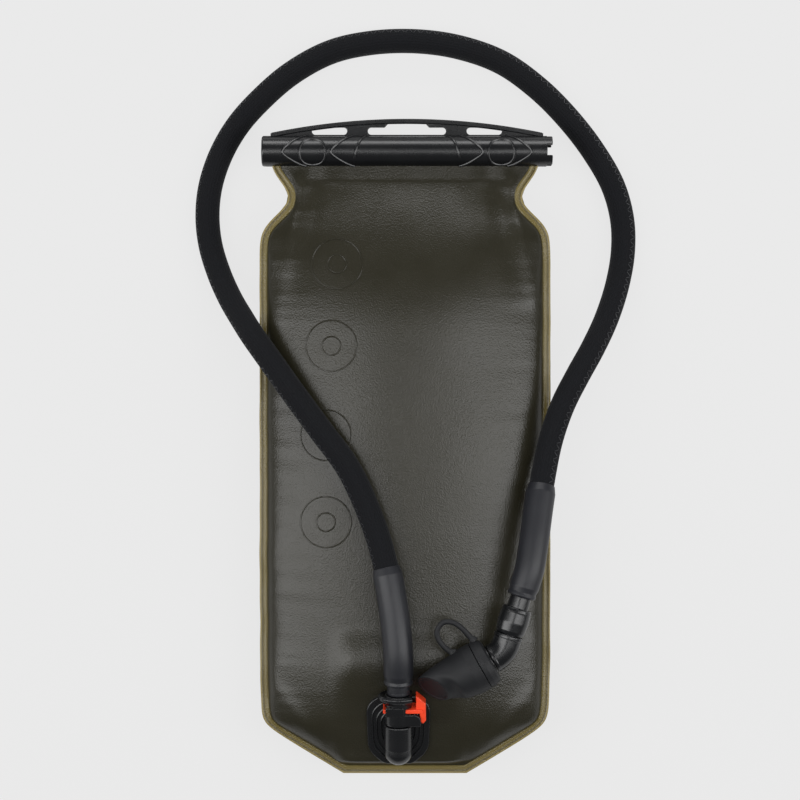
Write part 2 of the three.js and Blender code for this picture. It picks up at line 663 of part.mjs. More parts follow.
function buildPort(parent) {
  const port = new THREE.Group();
  port.position.set(PORT_X, PORT_Y, PORT_Z);
  port.rotation.x = PORT_PITCH;
  parent.add(port);
  piece("port_housing", portHousing(), blackPlastic, port);
  const axis = new THREE.Group();
  axis.position.z = PORT_AXIS_HEIGHT;
  port.add(axis);
  piece("coupling_socket", couplingSocket(), blackPlastic, axis);
  piece("release_button", releaseButton(), orangePlastic, axis);
  piece("tube_plug", tubePlug(), greyRubber, axis);
  piece("plug_seal", sealRing(PLUG_ROOT, RING_SECTION, RING_PLACE), sealRubber, axis);
  piece("shutoff_poppet", shutoffPoppet(), orangePlastic, axis);
  const poppetSeal = sealRing(POPPET_SEAL_ROOT, RING_SECTION, POPPET_TOP + GAP / 2 + RING_SECTION);
  piece("poppet_seal", poppetSeal, sealRubber, axis);
  const rest = SPRING_WIRE + GAP;
  const poppetLow = POPPET_TOP - POPPET_THICKNESS;
  const poppetSpring = coilSpring(POPPET_SPRING_RADIUS, CHAMBER_LOW + rest, poppetLow - rest, 3);
  piece("poppet_spring", poppetSpring, springSteel, axis);
  const buttonInner = BUTTON_OUT - BUTTON_WALL;
  const coil = coilSpring(BUTTON_SPRING_RADIUS, SOCKET_RADIUS + rest, buttonInner - rest, 3);
  const buttonSpring = coil.rotate([0, 0, -90]).translate([0, BUTTON_SPRING_PLACE, 0]);
  piece("button_spring", buttonSpring, springSteel, axis);
}

/** Point on the hose axis inside the port, at a distance from the joint face. */
function portAxisPoint(along) {
  const point = new THREE.Vector3(0, along, PORT_AXIS_HEIGHT);
  point.applyAxisAngle(new THREE.Vector3(1, 0, 0), PORT_PITCH);
  return point.add(new THREE.Vector3(PORT_X, PORT_Y, PORT_Z));
}

// ---- Hose --------------------------------------------------------------------------------------

const ELBOW = new THREE.Vector3(ELBOW_X, BOTTOM_Y + ELBOW_FROM_BOTTOM, ELBOW_Z);

/** Point on the swivel's axis, at a distance from the elbow towards the hose. */
function swivelPoint(distance) {
  const heading = new THREE.Vector3(Math.cos(INLET_HEADING), Math.sin(INLET_HEADING), 0);
  return ELBOW.clone().addScaledVector(heading, distance);
}

// Route of the hose between its two straight ends: over the bag, off its left edge, round the bar
// on the floor and back over the right edge. Points are for the bag's drawn size.
const DRAWN_WIDTH = 190;
const DRAWN_LENGTH = 406;
const DRAWN_HEIGHT = 55;
const ROUTE = [
  [-6, -113, 71.6],
  [-9, -93, 69.8],
  [-13, -73, 67.6],
  [-21, -47, 65.8],
  [-36, -14, 64.2],
  [-55, 12, 61.4],
  [-73.5, 37, 56.6],
  [-88, 57, 49.6],
  [-99, 72, 41],
  [-107, 84, 31.5],
  [-115, 97, 22],
  [-123, 114, 13.5],
  [-129, 133, 9],
  [-131, 152, 8.5],
  [-129, 172, 8.5],
  [-122, 193, 8.5],
  [-111, 212, 8.5],
  [-96, 229, 8.5],
  [-75, 247, 8.5],
  [-49, 261, 8.5],
  [-22, 267, 8.5],
  [8, 268, 8.5],
  [36, 264, 8.5],
  [64, 254, 8.5],
  [88, 237, 8.5],
  [108, 217, 8.5],
  [125, 195, 8.5],
  [138, 172, 8.5],
  [144, 150, 8.5],
  [144.5, 129, 9.5],
  [140.5, 107, 14],
  [132.5, 84, 23],
  [122.5, 64, 33],
  [112, 46, 41],
  [102, 27, 46],
  [94, 5, 50.5],
  [89, -17, 55.5],
  [85, -40, 62],
  [82, -60, 67.5],
];

/** The whole hose axis, straight at the plug and at the swivel. */
function hosePath() {
  const stretch = new THREE.Vector3(
    BAG_WIDTH / DRAWN_WIDTH,
    BAG_LENGTH / DRAWN_LENGTH,
    (SEAM_Z + FRONT_RISE) / DRAWN_HEIGHT,
  );
  const route = ROUTE.map((point) => new THREE.Vector3(...point).multiply(stretch));
  const barb = BARB_LENGTH / 2 + GAP;
  const plugEnd = [0, barb, 2 * barb].map((reach) => portAxisPoint(STUB_END + GAP + reach));
  const valveEnd = [2 * barb, barb, 0].map((reach) => swivelPoint(CONNECTOR_END + GAP + reach));
  const path = new THREE.CatmullRomCurve3([...plugEnd, ...route, ...valveEnd], false, "centripetal");
  path.arcLengthDivisions = 4000;
  return path;
}

/** Part of a path, between two distances along it. */
class Stretch extends THREE.Curve {
  constructor(path, from, to) {
    super();
    this.path = path;
    this.from = from / path.getLength();
    this.to = Math.min(1, to / path.getLength());
  }

  getPoint(t) {
    return this.path.getPointAt(THREE.MathUtils.lerp(this.from, this.to, t));
  }
}

/** Hollow tube along the hose axis between two of its sections, counted in steps. */
function hosePipe(path, outer, inner, first, last, step, sides) {
  const ring = new THREE.Shape().absarc(0, 0, outer, 0, 2 * Math.PI);
  ring.holes.push(new THREE.Path().absarc(0, 0, inner / Math.cos(Math.PI / sides), 0, 2 * Math.PI));
  const options = {
    extrudePath: new Stretch(path, first * step, last * step),
    steps: last - first,
    curveSegments: sides / 2,
  };
  return solid(new THREE.ExtrudeGeometry(ring, options));
}

function buildHose(parent) {
  const path = hosePath();
  const count = Math.round(path.getLength() / HOSE_STEP);
  const step = path.getLength() / count;
  const pipe = (outer, inner, first, last, sides) =>
    hosePipe(path, outer, inner, first, last, step, sides);
  piece("drink_tube", pipe(TUBE_RADIUS, TUBE_BORE, 0, count, 8), clearTube, parent);
  piece("insulation_sleeve", pipe(SLEEVE_RADIUS, SLEEVE_BORE, 0, count, 10), knit, parent);
  piece("lower_cuff", pipe(CUFF_RADIUS, CUFF_BORE, 0, LOWER_CUFF_STEPS, 12), greyRubber, parent);
  const upperStart = count - UPPER_CUFF_STEPS;
  piece("upper_cuff", pipe(CUFF_RADIUS, CUFF_BORE, upperStart, count, 12), greyRubber, parent);
}

// ---- Swivel and valve, each in a frame with +Y along its axis from the elbow's centre -----------

/** Barrel that the elbow turns in, with the stub and barb for the hose. */
function swivelConnector() {
  const seat = ELBOW_NOSE_RADIUS + GAP;
  const nose = ELBOW_FACE + ELBOW_NOSE_LENGTH + GAP;
  const barrelEnd = CONNECTOR_START + CONNECTOR_LENGTH;
  return turned([
    [seat, CONNECTOR_START],
    [CONNECTOR_RADIUS, CONNECTOR_START],
    [CONNECTOR_RADIUS, barrelEnd],
    [CONNECTOR_STUB_RADIUS, barrelEnd],
    [CONNECTOR_STUB_RADIUS, CONNECTOR_END],
    [BARB_RADIUS, CONNECTOR_END],
    [BARB_RADIUS, CONNECTOR_END + BARB_LENGTH],
    [PLUG_BORE, CONNECTOR_END + BARB_LENGTH],
    [PLUG_BORE, nose],
    [seat, nose],
  ]);
}

/** Elbow: two legs and a round corner, bored through, with a nose that turns in the barrel. */
function swivelElbow() {
  const turn = THREE.MathUtils.radToDeg(INLET_HEADING - VALVE_HEADING);
  const seal = RING_SECTION + GAP / 2;
  const inlet = rod(ELBOW_RADIUS, 0, ELBOW_FACE).add(
    turned([
      [0, ELBOW_FACE - 1],
      [ELBOW_NOSE_RADIUS, ELBOW_FACE - 1],
      [ELBOW_NOSE_RADIUS, ELBOW_SEAL_PLACE - seal],
      [ELBOW_SEAL_ROOT, ELBOW_SEAL_PLACE - seal],
      [ELBOW_SEAL_ROOT, ELBOW_SEAL_PLACE + seal],
      [ELBOW_NOSE_RADIUS, ELBOW_SEAL_PLACE + seal],
      [ELBOW_NOSE_RADIUS, ELBOW_FACE + ELBOW_NOSE_LENGTH],
      [0, ELBOW_FACE + ELBOW_NOSE_LENGTH],
    ]),
  );
  const outlet = rod(ELBOW_RADIUS, 0, VALVE_START - GAP);
  const corner = solid(new THREE.SphereGeometry(ELBOW_RADIUS, ROUND, 10));
  const bend = solid(new THREE.SphereGeometry(ELBOW_BORE + GAP, FINE, 10));
  const inletBore = rod(ELBOW_BORE, 0, 2 * CONNECTOR_LENGTH, FINE);
  const outletBore = rod(ELBOW_BORE, 0, VALVE_START, FINE);
  const face = VALVE_START - GAP;
  const beyond = block([-face, face, -face], [face, 2 * face, face]);
  const wall = outlet.add(corner).subtract(beyond).add(inlet.rotate([0, 0, turn]));
  return wall.subtract(outletBore).subtract(bend).subtract(inletBore.rotate([0, 0, turn]));
}

/** Fixed core in the valve, with a side port that the valve body opens and shuts. */
function valveCore() {
  const end = BITE_START - 2;
  const wall = turned([
    [CORE_BORE, CORE_START],
    [CORE_RADIUS, CORE_START],
    [CORE_RADIUS, end],
    [0, end],
    [0, end - CORE_END_WALL],
    [CORE_BORE, end - CORE_END_WALL],
  ], FINE);
  const port = rod(CORE_BORE / 2, -CORE_RADIUS - 1, CORE_RADIUS + 1, FINE).rotate([0, 0, 90]);
  return wall.subtract(port.translate([0, (VALVE_START + end) / 2, 0]));
}

/** Twist valve body: a groove for the rubber collar and a nose for the mouthpiece. */
function valveBody() {
  const bore = CORE_RADIUS + GAP;
  const groove = COLLAR_RING_BORE - GAP;
  const collarEnd = COLLAR_RING_START + COLLAR_RING_LENGTH + GAP;
  const noseStart = collarEnd + VALVE_FLANGE;
  return turned([
    [bore, VALVE_START],
    [groove, VALVE_START],
    [groove, collarEnd],
    [VALVE_SEAT_RADIUS, collarEnd],
    [VALVE_SEAT_RADIUS, noseStart],
    [BITE_RADIUS - BITE_WALL - GAP, noseStart],
    [BITE_RADIUS - BITE_WALL - GAP, BITE_START + 4],
    [VALVE_OUTLET, BITE_START + 4],
    [VALVE_OUTLET, BITE_START - 2 + GAP],
    [bore, BITE_START - 2 + GAP],
  ], BROAD);
}

/** Silicone mouthpiece with a slit in its domed end. */
function biteMouthpiece() {
  const low = COLLAR_RING_START + COLLAR_RING_LENGTH + VALVE_FLANGE + 2 * GAP;
  const high = BITE_START + BITE_LENGTH;
  const inner = BITE_RADIUS - BITE_WALL;
  const shell = turned([
    [inner, low],
    [BITE_RADIUS, low],
    [BITE_RADIUS, high - BITE_ROUND],
    [BITE_RADIUS - BITE_ROUND, high],
    [0, high],
    [0, high - BITE_WALL],
    [inner - 1, high - BITE_WALL],
    [inner, high - BITE_WALL - 1],
  ]);
  const half = SLIT_WIDTH / 2;
  const slit = block([-BITE_SLIT, high - 2 * BITE_WALL, -half], [BITE_SLIT, high + 1, half]);
  return shell.subtract(slit);
}

/** Rubber ring round the valve body that holds the tether. */
function coverCollar() {
  const high = COLLAR_RING_START + COLLAR_RING_LENGTH;
  return turned([
    [COLLAR_RING_BORE, COLLAR_RING_START],
    [CAP_RADIUS - 1.8, COLLAR_RING_START],
    [CAP_RADIUS, COLLAR_RING_START + 4],
    [CAP_RADIUS, high],
    [COLLAR_RING_BORE, high],
  ], BROAD);
}

/** Rubber dust cap: a tapered cup with a domed end. */
function dustCap() {
  const end = CAP_START + CAP_LENGTH;
  const shoulder = end - CAP_ROUND;
  return turned([
    [0, end - CAP_WALL],
    [CAP_END_RADIUS - CAP_ROUND, end - CAP_WALL - 0.6],
    [CAP_END_RADIUS - CAP_WALL, shoulder],
    [CAP_RADIUS - CAP_WALL, CAP_START + CAP_SHANK],
    [CAP_RADIUS - CAP_WALL, CAP_START],
    [CAP_RADIUS, CAP_START],
    [CAP_RADIUS, CAP_START + CAP_SHANK],
    [CAP_END_RADIUS, shoulder],
    [CAP_END_RADIUS - 0.35 * CAP_ROUND, end - 0.4 * CAP_ROUND],
    [CAP_END_RADIUS - CAP_ROUND, end - 0.6],
    [0, end],
  ], BROAD);
}

/** Rubber loop from the collar to the cap. */
function capTether() {
  const start = CAP_RADIUS + TETHER_RADIUS;
  const along = (share) => THREE.MathUtils.lerp(TETHER_ROOT, TETHER_LAND, share);
  const bow = TETHER_LAND + 2 * TETHER_RADIUS;
  const loop = new THREE.CatmullRomCurve3([
    new THREE.Vector3(start, TETHER_ROOT, 0),
    new THREE.Vector3(TETHER_REACH - 10, along(0.14), 0),
    new THREE.Vector3(TETHER_REACH - 3, along(0.42), 0),
    new THREE.Vector3(TETHER_REACH, along(0.83), 0),
    new THREE.Vector3(TETHER_REACH - 3, bow, 0),
    new THREE.Vector3(TETHER_REACH - 12, bow, 0),
    new THREE.Vector3(start, TETHER_LAND, 0),
  ]);
  const section = new THREE.Shape().absarc(0, 0, TETHER_RADIUS, 0, 2 * Math.PI);
  const options = { extrudePath: loop, steps: 14, curveSegments: 4 };
  return solid(new THREE.ExtrudeGeometry(section, options));
}

function buildValve(parent) {
  const inlet = new THREE.Group();
  inlet.position.copy(ELBOW);
  inlet.rotation.z = INLET_HEADING - Math.PI / 2;
  const valve = new THREE.Group();
  valve.position.copy(ELBOW);
  valve.rotation.z = VALVE_HEADING - Math.PI / 2;
  parent.add(inlet, valve);
  piece("swivel_connector", swivelConnector(), blackPlastic, inlet);
  const swivelSeal = sealRing(ELBOW_SEAL_ROOT, RING_SECTION, ELBOW_SEAL_PLACE);
  piece("swivel_seal", swivelSeal, sealRubber, inlet);
  piece("swivel_elbow", swivelElbow(), blackPlastic, valve);
  piece("valve_core", valveCore(), blackPlastic, valve);
  piece("valve_body", valveBody(), blackPlastic, valve);
  piece("bite_mouthpiece", biteMouthpiece(), silicone, valve);
  piece("cover_collar", coverCollar(), blackRubber, valve);
  piece("dust_cap", dustCap(), blackRubber, valve);
  piece("cap_tether", capTether(), blackRubber, valve);
}

const bladder = new THREE.Group();
buildBag(bladder);
buildClosure(bladder);
buildPort(bladder);
buildHose(bladder);
buildValve(bladder);

export default bladder;
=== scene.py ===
"""Visual model of a hydration bladder: film bag, slide-bar closure, hose port, hose and valve.

Every size is in millimetres in the model's own frame: +Z up, +Y from the hose port towards the
slide bar. Meshes are scaled to metres as they are made.
"""

from __future__ import annotations

import json
import logging
import math
from bisect import bisect_right
from collections.abc import Iterable, Sequence
from dataclasses import dataclass, field
from enum import Enum

import bmesh
import bpy
from mathutils import Matrix, Vector, geometry, noise

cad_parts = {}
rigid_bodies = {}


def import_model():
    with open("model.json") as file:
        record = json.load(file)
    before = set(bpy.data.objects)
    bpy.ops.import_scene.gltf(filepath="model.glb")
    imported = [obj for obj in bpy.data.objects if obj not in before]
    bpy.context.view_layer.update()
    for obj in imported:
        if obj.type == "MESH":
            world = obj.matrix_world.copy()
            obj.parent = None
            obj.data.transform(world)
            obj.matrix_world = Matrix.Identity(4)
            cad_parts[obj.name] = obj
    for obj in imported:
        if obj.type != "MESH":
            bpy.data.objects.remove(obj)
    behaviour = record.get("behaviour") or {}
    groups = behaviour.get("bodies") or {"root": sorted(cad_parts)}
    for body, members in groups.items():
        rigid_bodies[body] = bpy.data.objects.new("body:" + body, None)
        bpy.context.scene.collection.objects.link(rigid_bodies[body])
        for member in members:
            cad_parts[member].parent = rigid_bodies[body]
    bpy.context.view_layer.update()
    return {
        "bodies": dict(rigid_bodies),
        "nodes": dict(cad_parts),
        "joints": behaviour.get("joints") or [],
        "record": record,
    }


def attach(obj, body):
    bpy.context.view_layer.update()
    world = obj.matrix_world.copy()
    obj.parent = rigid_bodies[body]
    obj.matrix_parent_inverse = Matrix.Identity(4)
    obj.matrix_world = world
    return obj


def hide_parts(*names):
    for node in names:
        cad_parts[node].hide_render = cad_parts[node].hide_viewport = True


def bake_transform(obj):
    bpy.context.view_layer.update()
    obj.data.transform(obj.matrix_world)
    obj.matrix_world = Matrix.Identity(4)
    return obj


LOG = logging.getLogger("bladder")
MM = 0.001
GAP = 0.3
RIM_STEPS = 3
NOSE_STEPS = tuple(i / 6 for i in range(7))

Point2 = tuple[float, float]
Corner = tuple[float, float, float]
Piece = bpy.types.Object
Socket = bpy.types.NodeSocket


# ---- Small maths ----


def lerp(low: float, high: float, share: float) -> float:
    """Return the value a share of the way from low to high."""
    return low + (high - low) * share


def smoothstep(value: float, low: float, high: float) -> float:
    """Return 0 below low, 1 above high and a smooth curve between them."""
    share = min(1.0, max(0.0, (value - low) / (high - low)))
    return share * share * (3.0 - 2.0 * share)


def soft_ramp(value: float, softness: float) -> float:
    """Return a smooth version of max(value, 0)."""
    return (value + math.hypot(value, softness)) / 2


def linear(hex_colour: str, alpha: float = 1.0) -> tuple[float, float, float, float]:
    """Turn an sRGB hex colour into linear values.

    Args:
        hex_colour: six hex digits, with or without a leading '#'.
        alpha: opacity, passed through.

    Returns:
        The linear red, green, blue and alpha.
    """
    digits = hex_colour.lstrip("#")
    channels = [int(digits[i : i + 2], 16) / 255 for i in (0, 2, 4)]
    red, green, blue = (
        c / 12.92 if c <= 0.04045 else ((c + 0.055) / 1.055) ** 2.4 for c in channels
    )
    return red, green, blue, alpha


def rounded(corners: Iterable[Corner], steps: int = 4) -> list[Point2]:
    """Round each corner of a closed outline by an arc of its own radius.

    Args:
        corners: (x, y, radius) of each corner, in order.
        steps: segments in each arc.

    Returns:
        The outline's points, in the same order.
    """
    points = list(corners)
    result: list[Point2] = []
    for i, (x, y, radius) in enumerate(points):
        here = Vector((x, y))
        to_last = Vector(points[i - 1][:2]) - here
        to_next = Vector(points[(i + 1) % len(points)][:2]) - here
        if radius <= 0 or to_last.length < 1e-6 or to_next.length < 1e-6:
            result.append((x, y))
            continue
        half = to_last.angle(to_next) / 2
        if half > math.pi / 2 - 0.01:
            result.append((x, y))
            continue
        reach = min(radius / math.tan(half), to_last.length * 0.49, to_next.length * 0.49)
        size = reach * math.tan(half)
        middle = (to_last.normalized() + to_next.normalized()).normalized()
        centre = here + middle * (size / math.sin(half))
        start = here + to_last.normalized() * reach - centre
        end = here + to_next.normalized() * reach - centre
        turn = start.angle_signed(end)
        for step in range(steps + 1):
            angle = -turn * step / steps
            spoke = Matrix.Rotation(angle, 2) @ start
            result.append((centre.x + spoke.x, centre.y + spoke.y))
    return result


def ellipse(centre: Point2, radii: Point2, steps: int, start: float = 0.0) -> list[Point2]:
    """Return the points of a closed ellipse, anticlockwise from an angle in radians.

    Args:
        centre: its middle.
        radii: half its width and half its height.
        steps: how many points.
        start: the first point's angle in radians.

    Returns:
        The points, not closed by a doubled one.
    """
    angles = (start + 2 * math.pi * i / steps for i in range(steps))
    return [
        (centre[0] + radii[0] * math.cos(a), centre[1] + radii[1] * math.sin(a)) for a in angles
    ]


def slot_outline(middle: float, low: float, length: float, height: float) -> list[Point2]:
    """Return a straight slot with round ends, its underside at low.

    Args:
        middle: the slot's middle across.
        low: its underside.
        length: its length, round ends and all.
        height: its height.

    Returns:
        The outline, anticlockwise.
    """
    radius = height / 2
    corners = [
        (middle + length / 2, low, radius), (middle + length / 2, low + height, radius),
        (middle - length / 2, low + height, radius), (middle - length / 2, low, radius),
    ]
    return rounded(corners, 8)


# ---- Mesh making ----


class Axis:
    """A line that turned pieces are built about, straight unless a subclass bends it."""

    def __init__(self, place: Matrix) -> None:
        """Set the frame whose +Y is the axis, in millimetres."""
        self.place = place

    def frame(self, along: float) -> Matrix:
        """Return the frame at a distance along the axis: +Y onwards, +Z outwards."""
        return self.place @ Matrix.Translation((0, along, 0))


class ObliqueAxis(Axis):
    """A straight axis whose last frames drift sideways and turn."""

    def __init__(
        self, place: Matrix, start: float, end: float, shift: Vector, turn: Matrix
    ) -> None:
        """Set where the turn starts and ends.

        Args:
            place: frame whose +Y is the axis.
            start: distance along the axis where the frames start to turn.
            end: distance where they stop.
            shift: how far the last frames have moved sideways.
            turn: how far they have turned.
        """
        super().__init__(place)
        self.start, self.end = start, end
        self.shift = shift
        self.turn = turn.to_quaternion()

    def frame(self, along: float) -> Matrix:
        """Return the frame at a distance along the axis."""
        share = smoothstep(along, self.start, self.end)
        middle = Matrix.Translation(Vector((0, along, 0)) + self.shift * share)
        turn = Matrix.Identity(4).to_quaternion().slerp(self.turn, share)
        return self.place @ middle @ turn.to_matrix().to_4x4()


class PathAxis(Axis):
    """An axis that follows a smooth path, with +Z of its frames kept as near up as it can be."""

    def __init__(self, points: Sequence[Vector], up: Vector | None = None) -> None:
        """Measure the path.

        Args:
            points: closely spaced points in millimetres.
            up: direction that +Z of every frame leans towards.
        """
        super().__init__(Matrix.Identity(4))
        self.points = list(points)
        self.up = up or Vector((0, 0, 1))
        self.reach = [0.0]
        for a, b in zip(self.points, self.points[1:]):
            self.reach.append(self.reach[-1] + (b - a).length)
        self.length = self.reach[-1]

    def point(self, along: float) -> Vector:
        """Return the point at a distance, carried straight on past either end."""
        i = min(max(bisect_right(self.reach, along) - 1, 0), len(self.points) - 2)
        span = self.reach[i + 1] - self.reach[i]
        return self.points[i].lerp(self.points[i + 1], (along - self.reach[i]) / span)

    def frame(self, along: float) -> Matrix:
        """Return the frame at a distance along the path."""
        step = min(1.5, self.length / 8)
        tangent = (self.point(along + step) - self.point(along - step)).normalized()
        side = tangent.cross(self.up).normalized()
        out = side.cross(tangent)
        frame = Matrix((side, tangent, out)).transposed().to_4x4()
        frame.translation = self.point(along)
        return frame


def add_mesh(
    name: str, points: Iterable[Vector], faces: Iterable[Sequence[int]], sharp: float | None = 35.0,
) -> Piece:
    """Make an object from points in millimetres.

    Args:
        name: the piece's name.
        points: the vertices.
        faces: vertex indices of each face.
        sharp: edges that turn by more than this many degrees stay sharp; None keeps all smooth.

    Returns:
        The new object, at the origin, with its mesh in metres.
    """
    mesh = bpy.data.meshes.new(name)
    mesh.from_pydata([tuple(Vector(p) * MM) for p in points], [], [tuple(f) for f in faces])
    mesh.validate()
    piece = bpy.data.objects.new(name, mesh)
    bpy.context.scene.collection.objects.link(piece)
    shade(piece, sharp)
    return piece


def shade(piece: Piece, sharp: float | None) -> None:
    """Smooth a piece's faces, leaving edges over an angle in degrees sharp."""
    mesh = piece.data
    mesh.shade_smooth()
    if sharp is not None:
        mesh.set_sharp_from_angle(angle=math.radians(sharp))


def tidy(piece: Piece, merge: float = 1e-6, sharp: float | None = 35.0) -> None:
    """Merge doubled points and turn every face outwards.

    Args:
        piece: the piece.
        merge: how close two points are to be one, in metres.
        sharp: see shade.
    """
    grid = bmesh.new()
    grid.from_mesh(piece.data)
    bmesh.ops.remove_doubles(grid, verts=grid.verts, dist=merge)
    bmesh.ops.dissolve_degenerate(grid, edges=grid.edges, dist=merge)
    bmesh.ops.recalc_face_normals(grid, faces=grid.faces)
    grid.to_mesh(piece.data)
    grid.free()
    shade(piece, sharp)


def settle(piece: Piece, sharp: float | None = 35.0) -> Piece:
    """Apply a piece's modifiers and place, so that it sits at the origin as a plain mesh.

    Args:
        piece: a mesh or curve object.
        sharp: see shade.

    Returns:
        The plain mesh object, under the same name.
    """
    bpy.context.view_layer.update()
    graph = bpy.context.evaluated_depsgraph_get()
    mesh = bpy.data.meshes.new_from_object(
        piece.evaluated_get(graph), preserve_all_data_layers=True, depsgraph=graph
    )
    mesh.transform(piece.matrix_world)
    piece.modifiers.clear()
    if piece.type == "MESH":
        old = piece.data
        piece.data = mesh
        bpy.data.meshes.remove(old)
        piece.matrix_world = Matrix.Identity(4)
        result = piece
    else:
        name = piece.name
        bpy.data.objects.remove(piece)
        result = bpy.data.objects.new(name, mesh)
        bpy.context.scene.collection.objects.link(result)
    result.data.name = result.name
    tidy(result, sharp=sharp)
    return result


def weigh(piece: Piece) -> None:
    """Weigh a piece's normals by face size, so that flat faces beside a rounded rim stay flat.

    Args:
        piece: the piece.
    """
    weighted = piece.modifiers.new("weigh", "WEIGHTED_NORMAL")
    weighted.keep_sharp = True
    bpy.context.view_layer.update()
    graph = bpy.context.evaluated_depsgraph_get()
    mesh = bpy.data.meshes.new_from_object(
        piece.evaluated_get(graph), preserve_all_data_layers=True, depsgraph=graph
    )
    piece.modifiers.clear()
    old, piece.data = piece.data, mesh
    bpy.data.meshes.remove(old)
    mesh.name = piece.name


def turned(
    name: str, profile: Sequence[Point2], axis: Axis, sides: int = 64, step: float | None = None,
    squash: float = 1.0, sharp: float | None = 35.0,
) -> Piece:
    """Turn a closed profile about an axis, which may bend.

    Args:
        name: the piece's name.
        profile: (radius, along) points; a radius of 0 makes a pole.
        axis: the line to turn about.
        sides: number of sides.
        step: longest run along the axis before it is divided, for an axis that bends.
        squash: height of the section over its width.
        sharp: see add_mesh.

    Returns:
        The closed piece, with a UV map in turns and millimetres.
    """
    points = divided(profile, step) if step else list(profile)
    corners: list[Vector] = []
    rings: list[list[int]] = []
    for radius, along in points:
        frame = axis.frame(along)
        count = 1 if radius < 1e-6 else sides
        rings.append(list(range(len(corners), len(corners) + count)))
        for i in range(count):
            angle = 2 * math.pi * i / sides
            spoke = Vector((radius * math.cos(angle), 0, radius * math.sin(angle) * squash))
            corners.append(frame @ spoke)
    faces = []
    turns = []
    for k, ring in enumerate(rings):
        after = (k + 1) % len(rings)
        other = rings[after]
        if len(ring) == 1 and len(other) == 1:
            continue
        low, high = points[k][1], points[after][1]
        for i in range(sides):
            j = (i + 1) % sides
            near = [ring[0]] if len(ring) == 1 else [ring[i], ring[j]]
            far = [other[0]] if len(other) == 1 else [other[j], other[i]]
            faces.append(near + far)
            share = [i / sides, (i + 1) / sides]
            near_uv = [(share[0], low)] if len(ring) == 1 else [(share[0], low), (share[1], low)]
            far_uv = [(share[0], high)] if len(other) == 1 else [(share[1], high), (share[0], high)]
            turns.append(near_uv + far_uv)
    piece = add_mesh(name, corners, faces, sharp)
    layer = piece.data.uv_layers.new(name="wrap")
    for face, uvs in zip(piece.data.polygons, turns):
        for loop, uv in zip(face.loop_indices, uvs):
            layer.data[loop].uv = (uv[0], uv[1] * MM)
    grid = bmesh.new()
    grid.from_mesh(piece.data)
    bmesh.ops.recalc_face_normals(grid, faces=grid.faces)
    grid.to_mesh(piece.data)
    grid.free()
    shade(piece, sharp)
    return piece


def divided(profile: Sequence[Point2], step: float) -> list[Point2]:
    """Divide the long runs of a closed profile of (radius, along) points.

    Args:
        profile: closed points.
        step: the longest run that stays whole.

    Returns:
        The profile with points added.
    """
    result: list[Point2] = []
    for i, (radius, along) in enumerate(profile):
        next_radius, next_along = profile[(i + 1) % len(profile)]
        pieces = max(1, math.ceil(abs(next_along - along) / step))
        for k in range(pieces):
            share = k / pieces
            result.append((lerp(radius, next_radius, share), lerp(along, next_along, share)))
    return result


def signed_area(outline: Sequence[Point2]) -> float:
    """Return twice the area of an outline: positive when it runs anticlockwise."""
    after = [*outline[1:], outline[0]]
    return sum(x0 * y1 - x1 * y0 for (x0, y0), (x1, y1) in zip(outline, after))


def inset(outline: Sequence[Point2], distance: float) -> list[Point2]:
    """Move an outline to its left by a distance, mitring its corners.

    Args:
        outline: closed points, anticlockwise.
        distance: how far each side moves in.

    Returns:
        The moved outline, with the same number of points.
    """
    result = []
    for i, (x, y) in enumerate(outline):
        here = Vector((x, y))
        into = (here - Vector(outline[i - 1])).normalized()
        out = (Vector(outline[(i + 1) % len(outline)]) - here).normalized()
        left, right = Vector((-into.y, into.x)), Vector((-out.y, out.x))
        shift = (left + right) / max(0.4, 1 + left.dot(right)) * distance
        result.append((x + shift.x, y + shift.y))
    return result


def plate(
    name: str, outer: Sequence[Point2], holes: Sequence[Sequence[Point2]], low: float, high: float,
    bevel: float, place: Matrix, sharp: float = 35.0,
) -> Piece:
    """Make a flat plate with holes and rounded rims.

    Args:
        name: the piece's name.
        outer: outline in the plate's own XY plane.
        holes: outlines of the holes.
        low: underside, along the plate's own Z.
        high: upper side.
        bevel: radius of the rims, or 0 for square ones.
        place: the plate's own frame.
        sharp: see add_mesh.

    Returns:
        The closed plate.
    """
    loops = []
    for outline, turn in [(outer, 1), *((hole, -1) for hole in holes)]:
        clean = [p for i, p in enumerate(outline) if math.dist(p, outline[i - 1]) > 1e-3]
        loops.append(clean if signed_area(clean) * turn > 0 else clean[::-1])
    arc = [math.pi / 2 * i / RIM_STEPS for i in range(RIM_STEPS + 1)] if bevel else [0.0]
    rim = [(bevel * (1 - math.sin(a)), bevel * (1 - math.cos(a))) for a in arc]
    levels = [(shift, low + rise) for shift, rise in rim]
    levels += [(shift, high - rise) for shift, rise in reversed(rim)]
    points: list[Vector] = []
    faces: list[Sequence[int]] = []
    for shift, height in levels:
        for loop in loops:
            points += [Vector((x, y, height)) for x, y in inset(loop, shift)]
    count = sum(len(loop) for loop in loops)
    first = 0
    for loop in loops:
        for level in range(len(levels) - 1):
            base = level * count + first
            for i in range(len(loop)):
                j = (i + 1) % len(loop)
                faces.append((base + i, base + j, base + count + j, base + count + i))
        first += len(loop)
    flat = [[Vector((*p, 0)) for p in inset(loop, levels[0][0])] for loop in loops]
    top = (len(levels) - 1) * count
    for a, b, c in geometry.tessellate_polygon(flat):
        faces += [(a, b, c), (top + c, top + b, top + a)]
    piece = add_mesh(name, [place @ p for p in points], faces, sharp)
    tidy(piece, sharp=sharp)
    return piece


class Combine(Enum):
    """How closed pieces are combined."""

    ADD = "UNION"
    CUT = "DIFFERENCE"


